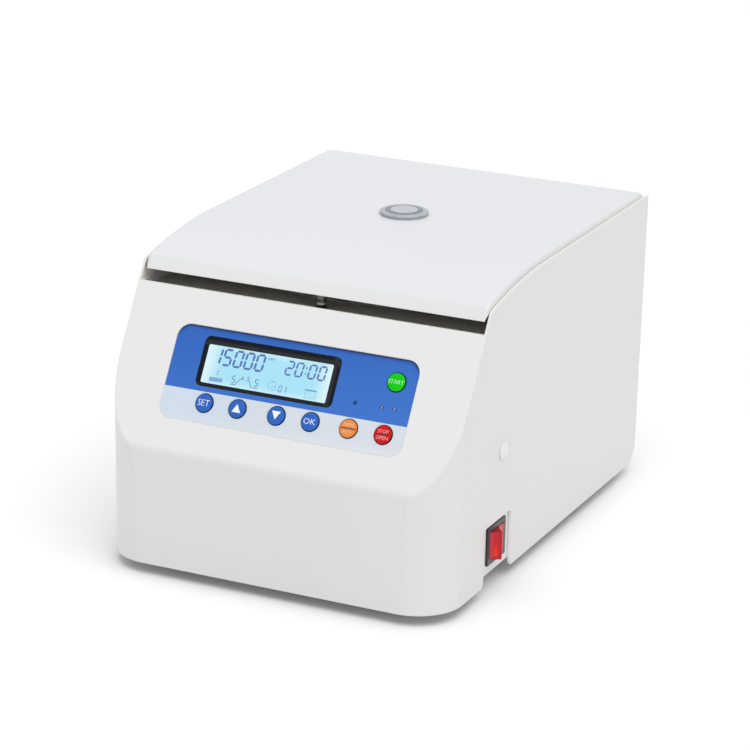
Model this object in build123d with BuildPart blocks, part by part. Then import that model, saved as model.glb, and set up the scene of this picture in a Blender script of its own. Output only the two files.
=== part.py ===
from build123d import *
import os
from math import sin, cos, tan, asin, radians, sqrt

# Micro-hematocrit centrifuge for the bench.
# Frame: origin on the bench, in the middle of the footprint. +Z up, front towards -Y, +X to the user's right.
# Lengths in millimetres.

os.makedirs("parts", exist_ok=True)

# ---------------------------------------------------------------- driving dimensions
WIDTH = 260.0
DEPTH = 355.0
HALF_W = WIDTH / 2
FRONT = -DEPTH / 2
REAR = DEPTH / 2
SKIRT_Z = 8.0            # bottom edge of the housing above the bench
WALL_TOP = 214.9         # top of the side walls
LID_TOP = 218.1          # flat top of the lid
CORNER_R = 33.6          # upright front corners
REAR_CORNER_R = 15.0     # lower rear corner of each side wall
SIDE_T = 2.4             # side wall thickness
DRAFT = 0.4              # degrees of moulding draft on the shell's sides, wider at the top
LID_RELIEF = 1.2         # extra width on each side for the lid, above the ledge
FRONT_T = 2.6            # front and slope thickness
SLOPE = radians(59.42)   # control face, from the horizontal
EDGE_Y, EDGE_Z = -118.72, 190.97   # upper edge of the control face
FOLD_R = 10.0            # soft fold between slope and front
ARC_Y, ARC_R = -20.0, 380.0        # roof line: flat, then a long arc
ARC_END = radians(12.6)
ROOF_R = 4.0             # roof line into slope, on the side walls
LIP_R = 6.0              # the same corner on the lid
LEDGE_Z0, LEDGE_Z1 = 179.4, 182.0  # moulded ledge inside the housing
DECK_T = 2.0
INNER_W = HALF_W - SIDE_T
FRONT_FLANGE_Y = -116.5

LID_GAP = 0.35           # lid to side wall
LID_EDGE_R = 3.4         # soft side edges of the lid
LID_BACK_R = 6.0         # rear corner of the lid
LID_T = 3.0
LID_BOTTOM = 198.0
HINGE_Y, HINGE_Z, HINGE_R = 164.0, 205.2, 10.8
LINER_T = 1.5
PIN_R = 3.0
HINGE_X = 70.0

SPIN_Y = 32.8            # rotor axis
BOWL_R = 104.0
BOWL_T = 1.0
BOWL_FLOOR = 147.0
RIM_Z = LEDGE_Z1 + DECK_T          # bowl rim rests on the deck plate
ROTOR_R = 97.0
SLOTS = 24
SLOT_W = 2.2
SHAFT_R = 5.0
STUD_R = 3.0

LABEL_W, LABEL_H, LABEL_R = 180.9, 66.1, 9.6
LABEL_S = 58.25          # centre of the label, measured down the slope
POCKET = 0.8             # label recess
DISPLAY_X, DISPLAY_S = -17.42, 48.58
DISPLAY_W, DISPLAY_H = 102.6, 35.0
VIEW_X, VIEW_S = -18.1, 50.1
VIEW_W, VIEW_H = 93.9, 26.8
CAP_R = 6.3
CAP_HOLE_R = 6.95
BUTTONS = {
    "start_button": (75.9, 41.3),
    "set_button": (-57.9, 77.4),
    "up_button": (-32.8, 77.4),
    "down_button": (-3.5, 77.4),
    "ok_button": (21.8, 77.4),
    "mode_button": (50.0, 77.4),
    "stop_button": (75.4, 77.4),
}
LEDS = [(50.2, 59.4), (69.8, 59.5), (79.0, 59.6)]
BOARD_TOP = -12.4        # control board, below the control face
POSTS = [(x, s) for x in (-87.5, 87.5) for s in (30.5, 86.0)]

STRIKER_Y = -99.1
SWITCH_Y, SWITCH_Z = -86.4, 34.5
NOTCH_Y, NOTCH_HALF, NOTCH_TOP = -85.8, 22.7, 50.0
SWITCH_TILT = 18.5       # rocker, each side of its middle
PIVOT_X = 125.4
PLATE_X = 127.4          # outer face of the tray's upturned sides
CAP_Y, CAP_Z = -83.0, 98.6
TRAY_Z, TRAY_T = 14.0, 1.2
PANEL_Y, PANEL_T = 175.3, 1.2
INLET_X, INLET_Z = -75.0, 66.0
FUSE_Z = 50.0
FEET = [(x, y) for x in (-95.0, 95.0) for y in (-140.0, 140.0)]
MOTOR_POSTS = [(x, y) for x in (-80.0, 80.0) for y in (SPIN_Y - 58.0, SPIN_Y + 58.0)]

FOLD_Z = EDGE_Z - (EDGE_Y - FRONT) * tan(SLOPE)

# ---------------------------------------------------------------- working planes
# The control face: local x is +X, local y runs up the slope, so a distance s down the slope is -y.
FACE = Plane(origin=(0, EDGE_Y, EDGE_Z), x_dir=(1, 0, 0), z_dir=(0, -sin(SLOPE), cos(SLOPE)))
SPIN = Axis((0, SPIN_Y, 0), (0, 0, 1))
SPIN_SECTION = Plane(origin=(0, SPIN_Y, 0), x_dir=(1, 0, 0), z_dir=(0, -1, 0))


def corner(a, v, b, r):
    """Start, middle and end of an arc of radius r that rounds the corner a-v-b."""
    a, v, b = Vector(*a), Vector(*v), Vector(*b)
    u, w = (a - v).normalized(), (b - v).normalized()
    half = radians(u.get_angle(w)) / 2
    run = r / tan(half)
    bis = (u + w).normalized()
    mid = v + bis * (r / sin(half) - r)
    p, q = v + u * run, v + w * run
    return (p.X, p.Y), (mid.X, mid.Y), (q.X, q.Y)


def roof(top, slope, r):
    """The roof line in the YZ plane, top above the wall top, slope outside the control face."""
    radius = ARC_R + top
    zc = WALL_TOP - ARC_R
    flat = (ARC_Y, WALL_TOP + top)
    mid = (ARC_Y - radius * sin(ARC_END / 2), zc + radius * cos(ARC_END / 2))
    end = (ARC_Y - radius * sin(ARC_END), zc + radius * cos(ARC_END))
    foot = (EDGE_Y - slope * sin(SLOPE), EDGE_Z + slope * cos(SLOPE))
    t = ((end[0] - foot[0]) * sin(SLOPE) - (end[1] - foot[1]) * cos(SLOPE)) / sin(SLOPE - ARC_END)
    peak = (end[0] - t * cos(ARC_END), end[1] - t * sin(ARC_END))
    return flat, mid, end, corner(end, peak, foot, r)


def dome(a, low, high):
    """Middle of an arc from (a, low) to the axis at (0, high) that meets the axis squarely."""
    h = high - low
    r = (a * a + h * h) / (2 * h)
    half = asin(a / r) / 2
    return (r * sin(half), high - r * (1 - cos(half)))


def slope_y(z, inside=0.0):
    """Y of the control face at height z, inside it by the given distance."""
    return EDGE_Y + (z - EDGE_Z) / tan(SLOPE) + inside / sin(SLOPE)


# ---------------------------------------------------------------- housing shell
flat, arc_mid, arc_end, (r1, r2, r3) = roof(0, 0, ROOF_R)
f1, f2, f3 = corner((EDGE_Y, EDGE_Z), (FRONT, FOLD_Z), (FRONT, 0), FOLD_R)
k1, k2, k3 = corner((0, SKIRT_Z), (REAR, SKIRT_Z), (REAR, 100), REAR_CORNER_R)

with BuildPart() as shell_cavity:
    g1, g2, g3 = corner(
        (slope_y(LEDGE_Z0, FRONT_T), LEDGE_Z0),
        (FRONT + FRONT_T, FOLD_Z - FRONT_T * tan((radians(90) - SLOPE) / 2)),
        (FRONT + FRONT_T, 0),
        FOLD_R,
    )
    with BuildSketch(Plane.YZ):
        with BuildLine():
            Line((REAR + 20, LEDGE_Z0), (slope_y(LEDGE_Z0, FRONT_T), LEDGE_Z0))
            Line((slope_y(LEDGE_Z0, FRONT_T), LEDGE_Z0), g1)
            ThreePointArc(g1, g2, g3)
            Line(g3, (FRONT + FRONT_T, 0))
            Line((FRONT + FRONT_T, 0), (REAR + 20, 0))
            Line((REAR + 20, 0), (REAR + 20, LEDGE_Z0))
        make_face()
    extrude(amount=INNER_W, both=True)
    with BuildSketch(Plane.XY) as plan:
        with Locations((0, (FRONT + FRONT_T + REAR + 40) / 2 - 0.01)):
            Rectangle(2 * INNER_W, REAR + 40 - FRONT - FRONT_T + 0.02)
        fillet(plan.vertices().group_by(Axis.Y)[0], CORNER_R - FRONT_T)
    extrude(amount=260, mode=Mode.INTERSECT)

with BuildPart() as housing_shell:
    with BuildSketch(Plane.YZ):
        with BuildLine():
            Line((REAR, WALL_TOP), flat)
            ThreePointArc(flat, arc_mid, arc_end)
            Line(arc_end, r1)
            ThreePointArc(r1, r2, r3)
            Line(r3, f1)
            ThreePointArc(f1, f2, f3)
            Line(f3, (FRONT, SKIRT_Z))
            Line((FRONT, SKIRT_Z), k1)
            ThreePointArc(k1, k2, k3)
            Line(k3, (REAR, WALL_TOP))
        make_face()
    extrude(amount=HALF_W + 5, both=True)
    # the plan stands 0.02 proud of the front, so the corner arcs cross the front instead of only touching it
    half_foot = HALF_W - CAP_Z * tan(radians(DRAFT))
    with BuildSketch(Plane.XY) as plan:
        with Locations((0, -0.01)):
            Rectangle(2 * half_foot, DEPTH + 0.02)
        fillet(plan.vertices().group_by(Axis.Y)[0], CORNER_R)
    extrude(amount=260, taper=-DRAFT, mode=Mode.INTERSECT)
    # soft outer edge round the roof line and the control face
    top_edges = (
        housing_shell.edges()
        .filter_by(lambda e: e.center().Z > FOLD_Z + 6 and abs(e.center().X) > 90)
        .filter_by(Axis.X, reverse=True)
        .filter_by(lambda e: abs(e.center().Y - REAR) > 1)
    )
    fillet(top_edges, 1.1)
    add(shell_cavity.part, mode=Mode.SUBTRACT)
    # space for the lid between the side walls, and the ledge below it
    with BuildSketch(Plane.XY.offset(EDGE_Z - 0.95)):
        with Locations((0, 30)):
            Rectangle(2 * (INNER_W + LID_RELIEF), 360)
    extrude(amount=40, mode=Mode.SUBTRACT)
    with BuildSketch(Plane.XY.offset(LEDGE_Z1)):
        with Locations((0, (FRONT_FLANGE_Y + 200) / 2)):
            Rectangle(2 * INNER_W, 200 - FRONT_FLANGE_Y)
    extrude(amount=20, mode=Mode.SUBTRACT)
    with BuildSketch(Plane.XY.offset(LEDGE_Z0 - 2)):
        with Locations((0, 190)):
            Rectangle(2 * INNER_W, 33)
        with Locations((0, SPIN_Y)):
            Circle(BOWL_R + BOWL_T + 2.5)
        with Locations((0, STRIKER_Y)):
            Circle(7.0)
    extrude(amount=10, mode=Mode.SUBTRACT)
    # upright flanges that take the rear panel's screws
    with BuildSketch(Plane.XY.offset(40)):
        with Locations((-INNER_W + 5.8, 174.0), (INNER_W - 5.8, 174.0)):
            Rectangle(12.0, 2.4)
    extrude(amount=LEDGE_Z1 - 40)
    # recess and openings of the control face
    with BuildSketch(FACE.offset(-POCKET)):
        with Locations((0, -LABEL_S)):
            RectangleRounded(LABEL_W + 0.5, LABEL_H + 0.5, LABEL_R + 0.25)
    extrude(amount=5, mode=Mode.SUBTRACT)
    with BuildSketch(FACE.offset(1)):
        with Locations((VIEW_X, -VIEW_S)):
            Rectangle(VIEW_W + 1.4, VIEW_H + 1.4)
        with Locations([(x, -s) for x, s in BUTTONS.values()]):
            Circle(CAP_HOLE_R)
        with Locations([(x, -s) for x, s in LEDS]):
            Circle(1.7)
    extrude(amount=-5, mode=Mode.SUBTRACT)
    # moulded posts for the control board
    with BuildSketch(FACE.offset(BOARD_TOP)):
        with Locations([(x, -s) for x, s in POSTS]):
            Circle(3.0)
    extrude(amount=-BOARD_TOP - FRONT_T + 0.3)
    # notch over the mains switch, open at the skirt, with eased corners
    with BuildSketch(Plane.YZ.offset(110)) as notch:
        with BuildLine():
            Polyline(
                (NOTCH_Y - NOTCH_HALF - 2.4, 0), (NOTCH_Y - NOTCH_HALF - 2.4, SKIRT_Z), (NOTCH_Y - NOTCH_HALF, SKIRT_Z + 2.4),
                (NOTCH_Y - NOTCH_HALF, NOTCH_TOP), (NOTCH_Y + NOTCH_HALF, NOTCH_TOP), (NOTCH_Y + NOTCH_HALF, SKIRT_Z + 2.4),
                (NOTCH_Y + NOTCH_HALF + 2.4, SKIRT_Z), (NOTCH_Y + NOTCH_HALF + 2.4, 0), close=True,
            )
        make_face()
        fillet(notch.vertices().group_by(Axis.Y)[-1], 3.0)
        fillet(notch.vertices().filter_by(lambda v: abs(v.Y - SKIRT_Z - 2.4) < 0.01), 2.4)
    extrude(amount=30, mode=Mode.SUBTRACT)
    # side fixing screws
    with BuildSketch(Plane.YZ):
        with Locations((CAP_Y, CAP_Z)):
            Circle(2.1)
    extrude(amount=140, both=True, mode=Mode.SUBTRACT)

# ---------------------------------------------------------------- chassis tray
with BuildPart() as chassis_tray:
    with BuildSketch(Plane.XY.offset(TRAY_Z)) as plan:
        with Locations((0, 0.2)):
            Rectangle(2 * 127.0, 344.4)
        fillet(plan.vertices().group_by(Axis.Y)[0], 31.0)
        with Locations((-60, 173), (60, 173)):
            Rectangle(30, 4.2)
    extrude(amount=TRAY_T)
    for side in (-1, 1):
        with BuildSketch(Plane.YZ.offset(side * PLATE_X)) as upright:
            with BuildLine():
                Polyline(
                    (-138, TRAY_Z), (-138, 70), (-97, 70), (-97, 110), (-69, 110), (-69, 70), (170, 70), (170, TRAY_Z),
                    close=True,
                )
            make_face()
            fillet(upright.vertices().group_by(Axis.Y)[-1], 4.0)
            with Locations((CAP_Y, CAP_Z)):
                Circle(2.1, mode=Mode.SUBTRACT)
            if side > 0:
                with Locations((SWITCH_Y, SWITCH_Z)):
                    Rectangle(27.4, 23.2, mode=Mode.SUBTRACT)
        extrude(amount=-side * TRAY_T)
    with BuildSketch(Plane.XZ.offset(-175.1)):
        with Locations((-60, TRAY_Z + 15), (60, TRAY_Z + 15)):
            Rectangle(30, 30)
    extrude(amount=TRAY_T)
    # pressed posts under the driver board
    with BuildSketch(Plane.XY.offset(TRAY_Z + TRAY_T)):
        with Locations([(x, y) for x in (-104, 54) for y in (-126, -60)]):
            Circle(3.0)
    extrude(amount=24.0 - TRAY_Z - TRAY_T)
    # cooling slots and holes for the feet and the motor posts
    with BuildSketch(Plane.XY.offset(TRAY_Z - 1)):
        with Locations([(x, SPIN_Y) for x in (-30, -18, -6, 6, 18, 30)]):
            SlotOverall(60, 4, rotation=90)
        with Locations(FEET):
            Circle(2.2)
    extrude(amount=4, mode=Mode.SUBTRACT)

# ---------------------------------------------------------------- rear panel
with BuildPart() as rear_panel:
    with BuildSketch(Plane.XZ.offset(-PANEL_Y - PANEL_T)) as sheet:
        with Locations((0, 106)):
            Rectangle(2 * 127.2, 176)
        fillet(sheet.vertices().group_by(Axis.Y)[-1], 3.0)
        with Locations([(40 + 0, z) for z in range(70, 171, 10)]):
            SlotOverall(110, 3.6, mode=Mode.SUBTRACT)
        with Locations((INLET_X, 61)):
            Rectangle(30.6, 34.6, mode=Mode.SUBTRACT)
        with Locations((-60, 35), (60, 35), (-121, 60), (121, 60), (-121, 165), (121, 165)):
            Circle(1.6, mode=Mode.SUBTRACT)
    extrude(amount=PANEL_T)

with BuildPart() as panel_screws:
    with BuildSketch(Plane.XZ.offset(-PANEL_Y - PANEL_T)):
        with Locations((-60, 35), (60, 35), (-121, 60), (121, 60), (-121, 165), (121, 165)):
            Circle(3.0)
    extrude(amount=-1.0)
    fillet(panel_screws.edges().group_by(Axis.Y)[-1], 0.5)
    with BuildSketch(Plane.XZ.offset(-PANEL_Y - PANEL_T)):
        with Locations((-60, 35), (60, 35), (-121, 60), (121, 60), (-121, 165), (121, 165)):
            Circle(1.45)
    extrude(amount=1.15)

# ---------------------------------------------------------------- deck plate, bowl and gasket
with BuildPart() as deck_plate:
    with BuildSketch(Plane.XY.offset(LEDGE_Z1)) as plan:
        with Locations((0, (FRONT_FLANGE_Y + 0.3 + 149.6) / 2)):
            Rectangle(2 * 127.2, 149.6 - FRONT_FLANGE_Y - 0.3)
        fillet(plan.vertices(), 2.0)
        with Locations((0, SPIN_Y)):
            Circle(BOWL_R + BOWL_T + 0.4, mode=Mode.SUBTRACT)
        with Locations((0, STRIKER_Y)):
            Circle(4.6, mode=Mode.SUBTRACT)
    extrude(amount=DECK_T)
    fillet(deck_plate.faces().sort_by(Axis.Z)[-1].edges().filter_by(GeomType.CIRCLE).sort_by(SortBy.RADIUS)[0], 0.3)

with BuildPart() as chamber_bowl:
    with BuildSketch(SPIN_SECTION):
        with BuildLine():
            Polyline(
                (24, BOWL_FLOOR - BOWL_T), (BOWL_R + BOWL_T - 9, BOWL_FLOOR - BOWL_T),
            )
            ThreePointArc(
                (BOWL_R + BOWL_T - 9, BOWL_FLOOR - BOWL_T),
                (BOWL_R + BOWL_T - 9 + 9 * sin(radians(45)), BOWL_FLOOR - BOWL_T + 9 - 9 * cos(radians(45))),
                (BOWL_R + BOWL_T, BOWL_FLOOR - BOWL_T + 9),
            )
            Polyline(
                (BOWL_R + BOWL_T, BOWL_FLOOR - BOWL_T + 9), (BOWL_R + BOWL_T, RIM_Z), (112, RIM_Z),
                (112, RIM_Z + BOWL_T), (BOWL_R + 0.6, RIM_Z + BOWL_T), (BOWL_R, RIM_Z + BOWL_T - 0.6),
                (BOWL_R, BOWL_FLOOR - BOWL_T + 9),
            )
            ThreePointArc(
                (BOWL_R, BOWL_FLOOR - BOWL_T + 9),
                (BOWL_R - 8 + 8 * sin(radians(45)), BOWL_FLOOR + 8 - 8 * cos(radians(45))),
                (BOWL_R - 8, BOWL_FLOOR),
            )
            Polyline((BOWL_R - 8, BOWL_FLOOR), (24, BOWL_FLOOR), (24, BOWL_FLOOR - BOWL_T))
        make_face()
    revolve(axis=SPIN)

with BuildPart() as bowl_gasket:
    with BuildSketch(SPIN_SECTION) as ring:
        with BuildLine():
            Polyline(
                (106.0, RIM_Z + BOWL_T), (111.6, RIM_Z + BOWL_T), (111.6, RIM_Z + BOWL_T + 3.5), (110.4, RIM_Z + BOWL_T + 5),
                (110.4, 196.2), (109.2, 197.7), (107.6, 197.7), (106.6, 196.2), (106.6, RIM_Z + BOWL_T + 5),
                (106.0, RIM_Z + BOWL_T + 3.5), close=True,
            )
        make_face()
    revolve(axis=SPIN)

# ---------------------------------------------------------------- motor and its mounting
with BuildPart() as motor_plate:
    with BuildSketch(Plane.XY.offset(128)) as plan:
        with Locations((0, SPIN_Y)):
            RectangleRounded(184, 138, 8)
            Circle(19.0, mode=Mode.SUBTRACT)
            with PolarLocations(27, 4, start_angle=45):
                Circle(2.2, mode=Mode.SUBTRACT)
        with Locations(MOTOR_POSTS):
            Circle(2.6, mode=Mode.SUBTRACT)
    extrude(amount=3)

with BuildPart() as standoffs:
    with BuildSketch(Plane.XY.offset(TRAY_Z + TRAY_T)):
        with Locations(MOTOR_POSTS):
            RegularPolygon(6.0, 6)
    extrude(amount=120 - TRAY_Z - TRAY_T)
    with BuildSketch(Plane.XY.offset(120)):
        with Locations(MOTOR_POSTS):
            Circle(2.0)
    extrude(amount=14)
    with BuildSketch(Plane.XY.offset(131)):
        with Locations(MOTOR_POSTS):
            RegularPolygon(4.2, 6)
    extrude(amount=3)

with BuildPart() as motor_dampers:
    with BuildSketch(Plane.XY.offset(120)):
        with Locations(MOTOR_POSTS):
            Circle(9.0)
            Circle(2.1, mode=Mode.SUBTRACT)
    extrude(amount=8)
    fillet(motor_dampers.edges().filter_by(GeomType.CIRCLE).filter_by(lambda e: abs(e.radius - 9) < 0.01), 1.5)

with BuildPart() as motor_housing:
    with BuildSketch(SPIN_SECTION):
        with BuildLine():
            Polyline(
                (SHAFT_R + 0.06, 66), (14, 66), (14, 70), (36, 70), (38, 72), (38, 78), (36.5, 78), (36.5, 116),
                (38, 116), (38, 128), (18, 128), (18, 134), (SHAFT_R + 0.06, 134), close=True,
            )
        make_face()
    revolve(axis=SPIN)
    with BuildSketch(Plane.XY.offset(82)):
        with Locations((0, SPIN_Y)):
            with PolarLocations(36.5, 20):
                Rectangle(1.6, 3.0)
    extrude(amount=30, mode=Mode.SUBTRACT)

with BuildPart() as shaft_boot:
    with BuildSketch(SPIN_SECTION):
        with BuildLine():
            Polyline(
                (19.6, 131), (26, 131), (26, 133.5), (23.4, 134.5), (23.4, 137.5), (25.4, 140), (23.4, 142.5), (23.4, 147.0),
                (28, 147.0), (28, 148.2), (26, 149.4), (21.0, 149.4), (21.0, 143.5), (22.6, 140), (19.6, 135), close=True,
            )
        make_face()
    revolve(axis=SPIN)

with BuildPart() as motor_shaft:
    with BuildSketch(SPIN_SECTION):
        with BuildLine():
            Polyline(
                (0, 62), (SHAFT_R - 0.5, 62), (SHAFT_R, 62.5), (SHAFT_R, 150), (9, 150), (9, 153), (SHAFT_R, 153),
                (SHAFT_R, 172), (STUD_R, 172), (STUD_R, 186.5), (STUD_R - 0.8, 187.3), (0, 187.3), close=True,
            )
        make_face()
    revolve(axis=SPIN)

# ---------------------------------------------------------------- rotor
with BuildPart() as rotor_disc:
    with BuildSketch(SPIN_SECTION):
        with BuildLine():
            Polyline(
                (SHAFT_R + 0.04, 153), (16, 153), (18, 155), (22, 161), (88, 162), (ROTOR_R - 1, 162), (ROTOR_R, 163),
                (ROTOR_R, 173.4), (ROTOR_R - 0.8, 174.2), (93.8, 174.2), (93.0, 173.4), (93.0, 168), (16, 168),
                (14.5, 169.5), (14.5, 174.2), (SHAFT_R + 0.04, 174.2), close=True,
            )
        make_face()
    revolve(axis=SPIN)
    with BuildSketch(Plane.XY.offset(168)):
        with Locations((0, SPIN_Y)):
            with PolarLocations((17.0 + 90.0) / 2, SLOTS):
                SlotOverall(90.0 - 17.0, SLOT_W)
    extrude(amount=-2.2, mode=Mode.SUBTRACT)

with BuildPart() as rim_gasket:
    with BuildSketch(SPIN_SECTION):
        with BuildLine():
            Polyline((90.6, 168), (92.9, 168), (92.9, 172.6), (92.2, 173.3), (91.2, 172.6), (90.6, 170.5), close=True)
        make_face()
    revolve(axis=SPIN)

with BuildPart() as rotor_cover:
    with BuildSketch(SPIN_SECTION):
        with BuildLine():
            Polyline(
                (STUD_R + 0.4, 174.3), (95.2, 174.3), (96.0, 175.1), (95.2, 175.9), (88, 175.9), (84, 176.9), (24, 176.9),
                (22, 176.3), (STUD_R + 0.4, 176.3), close=True,
            )
        make_face()
    revolve(axis=SPIN)

with BuildPart() as cover_knob:
    with BuildSketch(SPIN_SECTION):
        with BuildLine():
            Polyline(
                (STUD_R + 0.06, 176.5), (18, 176.5), (19, 177.5), (19, 179), (14.5, 180.5), (14.5, 190), (12.5, 192),
                (0, 192.6), (0, 188.5), (STUD_R + 0.06, 188.5), close=True,
            )
        make_face()
    revolve(axis=SPIN)
    with BuildSketch(Plane.XY.offset(181)):
        with Locations((0, SPIN_Y)):
            with PolarLocations(15.3, 18):
                Circle(1.5)
    extrude(amount=14, mode=Mode.SUBTRACT)

# ---------------------------------------------------------------- feet
with BuildPart() as feet:
    with BuildSketch(Plane.XY):
        with Locations(FEET):
            Circle(9.0)
    extrude(amount=TRAY_Z, taper=-4)
    fillet(feet.edges().filter_by(GeomType.CIRCLE).group_by(Axis.Z)[0], 1.0)
    with BuildSketch(Plane.XY):
        with Locations(FEET):
            Circle(4.6)
    extrude(amount=4, mode=Mode.SUBTRACT)
    with BuildSketch(Plane.XY):
        with Locations(FEET):
            Circle(2.2)
    extrude(amount=20, mode=Mode.SUBTRACT)

with BuildPart() as foot_screws:
    with BuildSketch(Plane.XY.offset(1.6)):
        with Locations(FEET):
            Circle(3.8)
    extrude(amount=2.4)
    with BuildSketch(Plane.XY.offset(1.6)):
        with Locations(FEET):
            RegularPolygon(1.6, 6)
    extrude(amount=1.3, mode=Mode.SUBTRACT)
    with BuildSketch(Plane.XY.offset(4)):
        with Locations(FEET):
            Circle(2.0)
    extrude(amount=14)
    with BuildSketch(Plane.XY.offset(TRAY_Z + TRAY_T)):
        with Locations(FEET):
            RegularPolygon(3.8, 6)
    extrude(amount=3)

# ---------------------------------------------------------------- control face parts
with BuildPart() as control_label:
    with BuildSketch(FACE.offset(-POCKET)):
        with Locations((0, -LABEL_S)):
            RectangleRounded(LABEL_W, LABEL_H, LABEL_R)
        with Locations((DISPLAY_X, -DISPLAY_S)):
            RectangleRounded(DISPLAY_W + 0.3, DISPLAY_H + 0.3, 4.45, mode=Mode.SUBTRACT)
        with Locations([(x, -s) for x, s in BUTTONS.values()]):
            Circle(CAP_HOLE_R - 0.05, mode=Mode.SUBTRACT)
        with Locations([(x, -s) for x, s in LEDS]):
            Circle(1.42, mode=Mode.SUBTRACT)
    extrude(amount=0.5)

with BuildPart() as display_frame:
    with BuildSketch(FACE.offset(-POCKET)):
        with Locations((DISPLAY_X, -DISPLAY_S)):
            RectangleRounded(DISPLAY_W, DISPLAY_H, 4.3)
        with Locations((VIEW_X, -VIEW_S)):
            RectangleRounded(VIEW_W, VIEW_H, 1.2, mode=Mode.SUBTRACT)
    extrude(amount=0.6)

with BuildPart() as display_lens:
    with BuildSketch(FACE.offset(-POCKET)):
        with Locations((VIEW_X, -VIEW_S)):
            RectangleRounded(VIEW_W - 0.1, VIEW_H - 0.1, 1.1)
    extrude(amount=0.5)

with BuildPart() as lcd_module:
    with BuildSketch(FACE.offset(-3.4)):
        with Locations((VIEW_X, -VIEW_S)):
            Rectangle(VIEW_W + 1.0, VIEW_H + 1.0)
    extrude(amount=3.4 - POCKET - 0.1)
    with BuildSketch(FACE.offset(BOARD_TOP)):
        with Locations((VIEW_X, -VIEW_S)):
            Rectangle(VIEW_W - 2.0, VIEW_H - 2.0)
    extrude(amount=-3.4 - BOARD_TOP)

with BuildPart() as control_board:
    with BuildSketch(FACE.offset(BOARD_TOP - 1.6)):
        with Locations((0, -LABEL_S)):
            RectangleRounded(184, 64, 2)
    extrude(amount=1.6)

with BuildPart() as tact_switches:
    with BuildSketch(FACE.offset(BOARD_TOP)):
        with Locations([(x, -s) for x, s in BUTTONS.values()]):
            Rectangle(6, 6)
    extrude(amount=2.5)
    with BuildSketch(FACE.offset(BOARD_TOP + 2.5)):
        with Locations([(x, -s) for x, s in BUTTONS.values()]):
            Circle(1.6)
    extrude(amount=0.6)

with BuildPart() as indicator_leds:
    for x, s in LEDS:
        seat = FACE.from_local_coords(Vector(x, -s, 0))
        with BuildSketch(Plane(origin=seat, x_dir=(1, 0, 0), z_dir=(0, -cos(SLOPE), -sin(SLOPE)))):
            with BuildLine():
                Polyline((0, BOARD_TOP), (1.7, BOARD_TOP), (1.7, BOARD_TOP + 1), (1.3, BOARD_TOP + 1), (1.3, -0.5))
                ThreePointArc((1.3, -0.5), dome(1.3, -0.5, 0.4), (0, 0.4))
                Line((0, 0.4), (0, BOARD_TOP))
            make_face()
        revolve(axis=Axis(seat, FACE.z_dir))

caps = {}
for name, (x, s) in BUTTONS.items():
    seat = FACE.from_local_coords(Vector(x, -s, 0))
    with BuildPart() as cap:
        with BuildSketch(Plane(origin=seat, x_dir=(1, 0, 0), z_dir=(0, -cos(SLOPE), -sin(SLOPE)))):
            with BuildLine():
                Polyline(
                    (0, -8.5), (2.4, -8.5), (2.4, -3.75), (CAP_R, -3.75), (CAP_R, 0.1),
                )
                ThreePointArc((CAP_R, 0.1), (CAP_R - 0.21, 0.56), (CAP_R - 0.7, 0.75))
                ThreePointArc((CAP_R - 0.7, 0.75), dome(CAP_R - 0.7, 0.75, 1.3), (0, 1.3))
                Line((0, 1.3), (0, -8.5))
            make_face()
        revolve(axis=Axis(seat, FACE.z_dir))
    caps[name] = cap

# ---------------------------------------------------------------- electronics on the tray
with BuildPart() as driver_board:
    with BuildSketch(Plane.XY.offset(24)):
        with Locations((-25, -93)):
            RectangleRounded(170, 78, 2)
    extrude(amount=1.6)

with BuildPart() as board_capacitors:
    with BuildSketch(Plane.XY.offset(25.6)):
        with Locations((-90, -108), (-66, -108), (-90, -84)):
            Circle(9.0)
    extrude(amount=32)
    fillet(board_capacitors.edges().group_by(Axis.Z)[-1], 1.0)

with BuildPart() as heatsink:
    with BuildSketch(Plane.XY.offset(25.6)):
        with Locations((-10, -96)):
            Rectangle(64, 3)
        with Locations([(-10 + d, -88) for d in (-30, -22.5, -15, -7.5, 0, 7.5, 15, 22.5, 30)]):
            Rectangle(2, 16)
    extrude(amount=34)

with BuildPart() as transformer:
    with BuildSketch(Plane.XY.offset(TRAY_Z + TRAY_T)):
        with Locations((56, 140)):
            Rectangle(58, 24)
    extrude(amount=48)
    with BuildSketch(Plane.XY.offset(TRAY_Z + TRAY_T + 9)):
        with Locations((56, 140)):
            RectangleRounded(40, 42, 5)
    extrude(amount=30)
    with BuildSketch(Plane.XY.offset(TRAY_Z + TRAY_T)):
        with Locations((56, 140)):
            Rectangle(70, 20)
    extrude(amount=2)

# ---------------------------------------------------------------- mains inlet with fuse drawer
INLET_MID = (INLET_Z + 56.0) / 2
with BuildPart() as inlet_socket:
    with BuildSketch(Plane.XZ.offset(-177.5)):
        with Locations((INLET_X, 61)):
            RectangleRounded(50, 38, 3)
    extrude(amount=177.5 - PANEL_Y - PANEL_T)
    with BuildSketch(Plane.XZ.offset(-PANEL_Y - PANEL_T)):
        with Locations((INLET_X, 61)):
            Rectangle(30, 34)
    extrude(amount=26)
    with BuildSketch(Plane.XZ.offset(-178)) as mouth:
        with BuildLine():
            Polyline(
                (INLET_X - 12.2, INLET_Z - 8.3), (INLET_X + 12.2, INLET_Z - 8.3), (INLET_X + 12.2, INLET_Z + 3.4),
                (INLET_X + 7.4, INLET_Z + 8.2), (INLET_X - 7.4, INLET_Z + 8.2), (INLET_X - 12.2, INLET_Z + 3.4), close=True,
            )
        make_face()
        fillet(mouth.vertices().group_by(Axis.Y)[0], 1.0)
    extrude(amount=17, mode=Mode.SUBTRACT)
    with BuildSketch(Plane.XZ.offset(-178)):
        with Locations((INLET_X, FUSE_Z)):
            Rectangle(22.0, 8.4)
    extrude(amount=24.8, mode=Mode.SUBTRACT)

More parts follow.
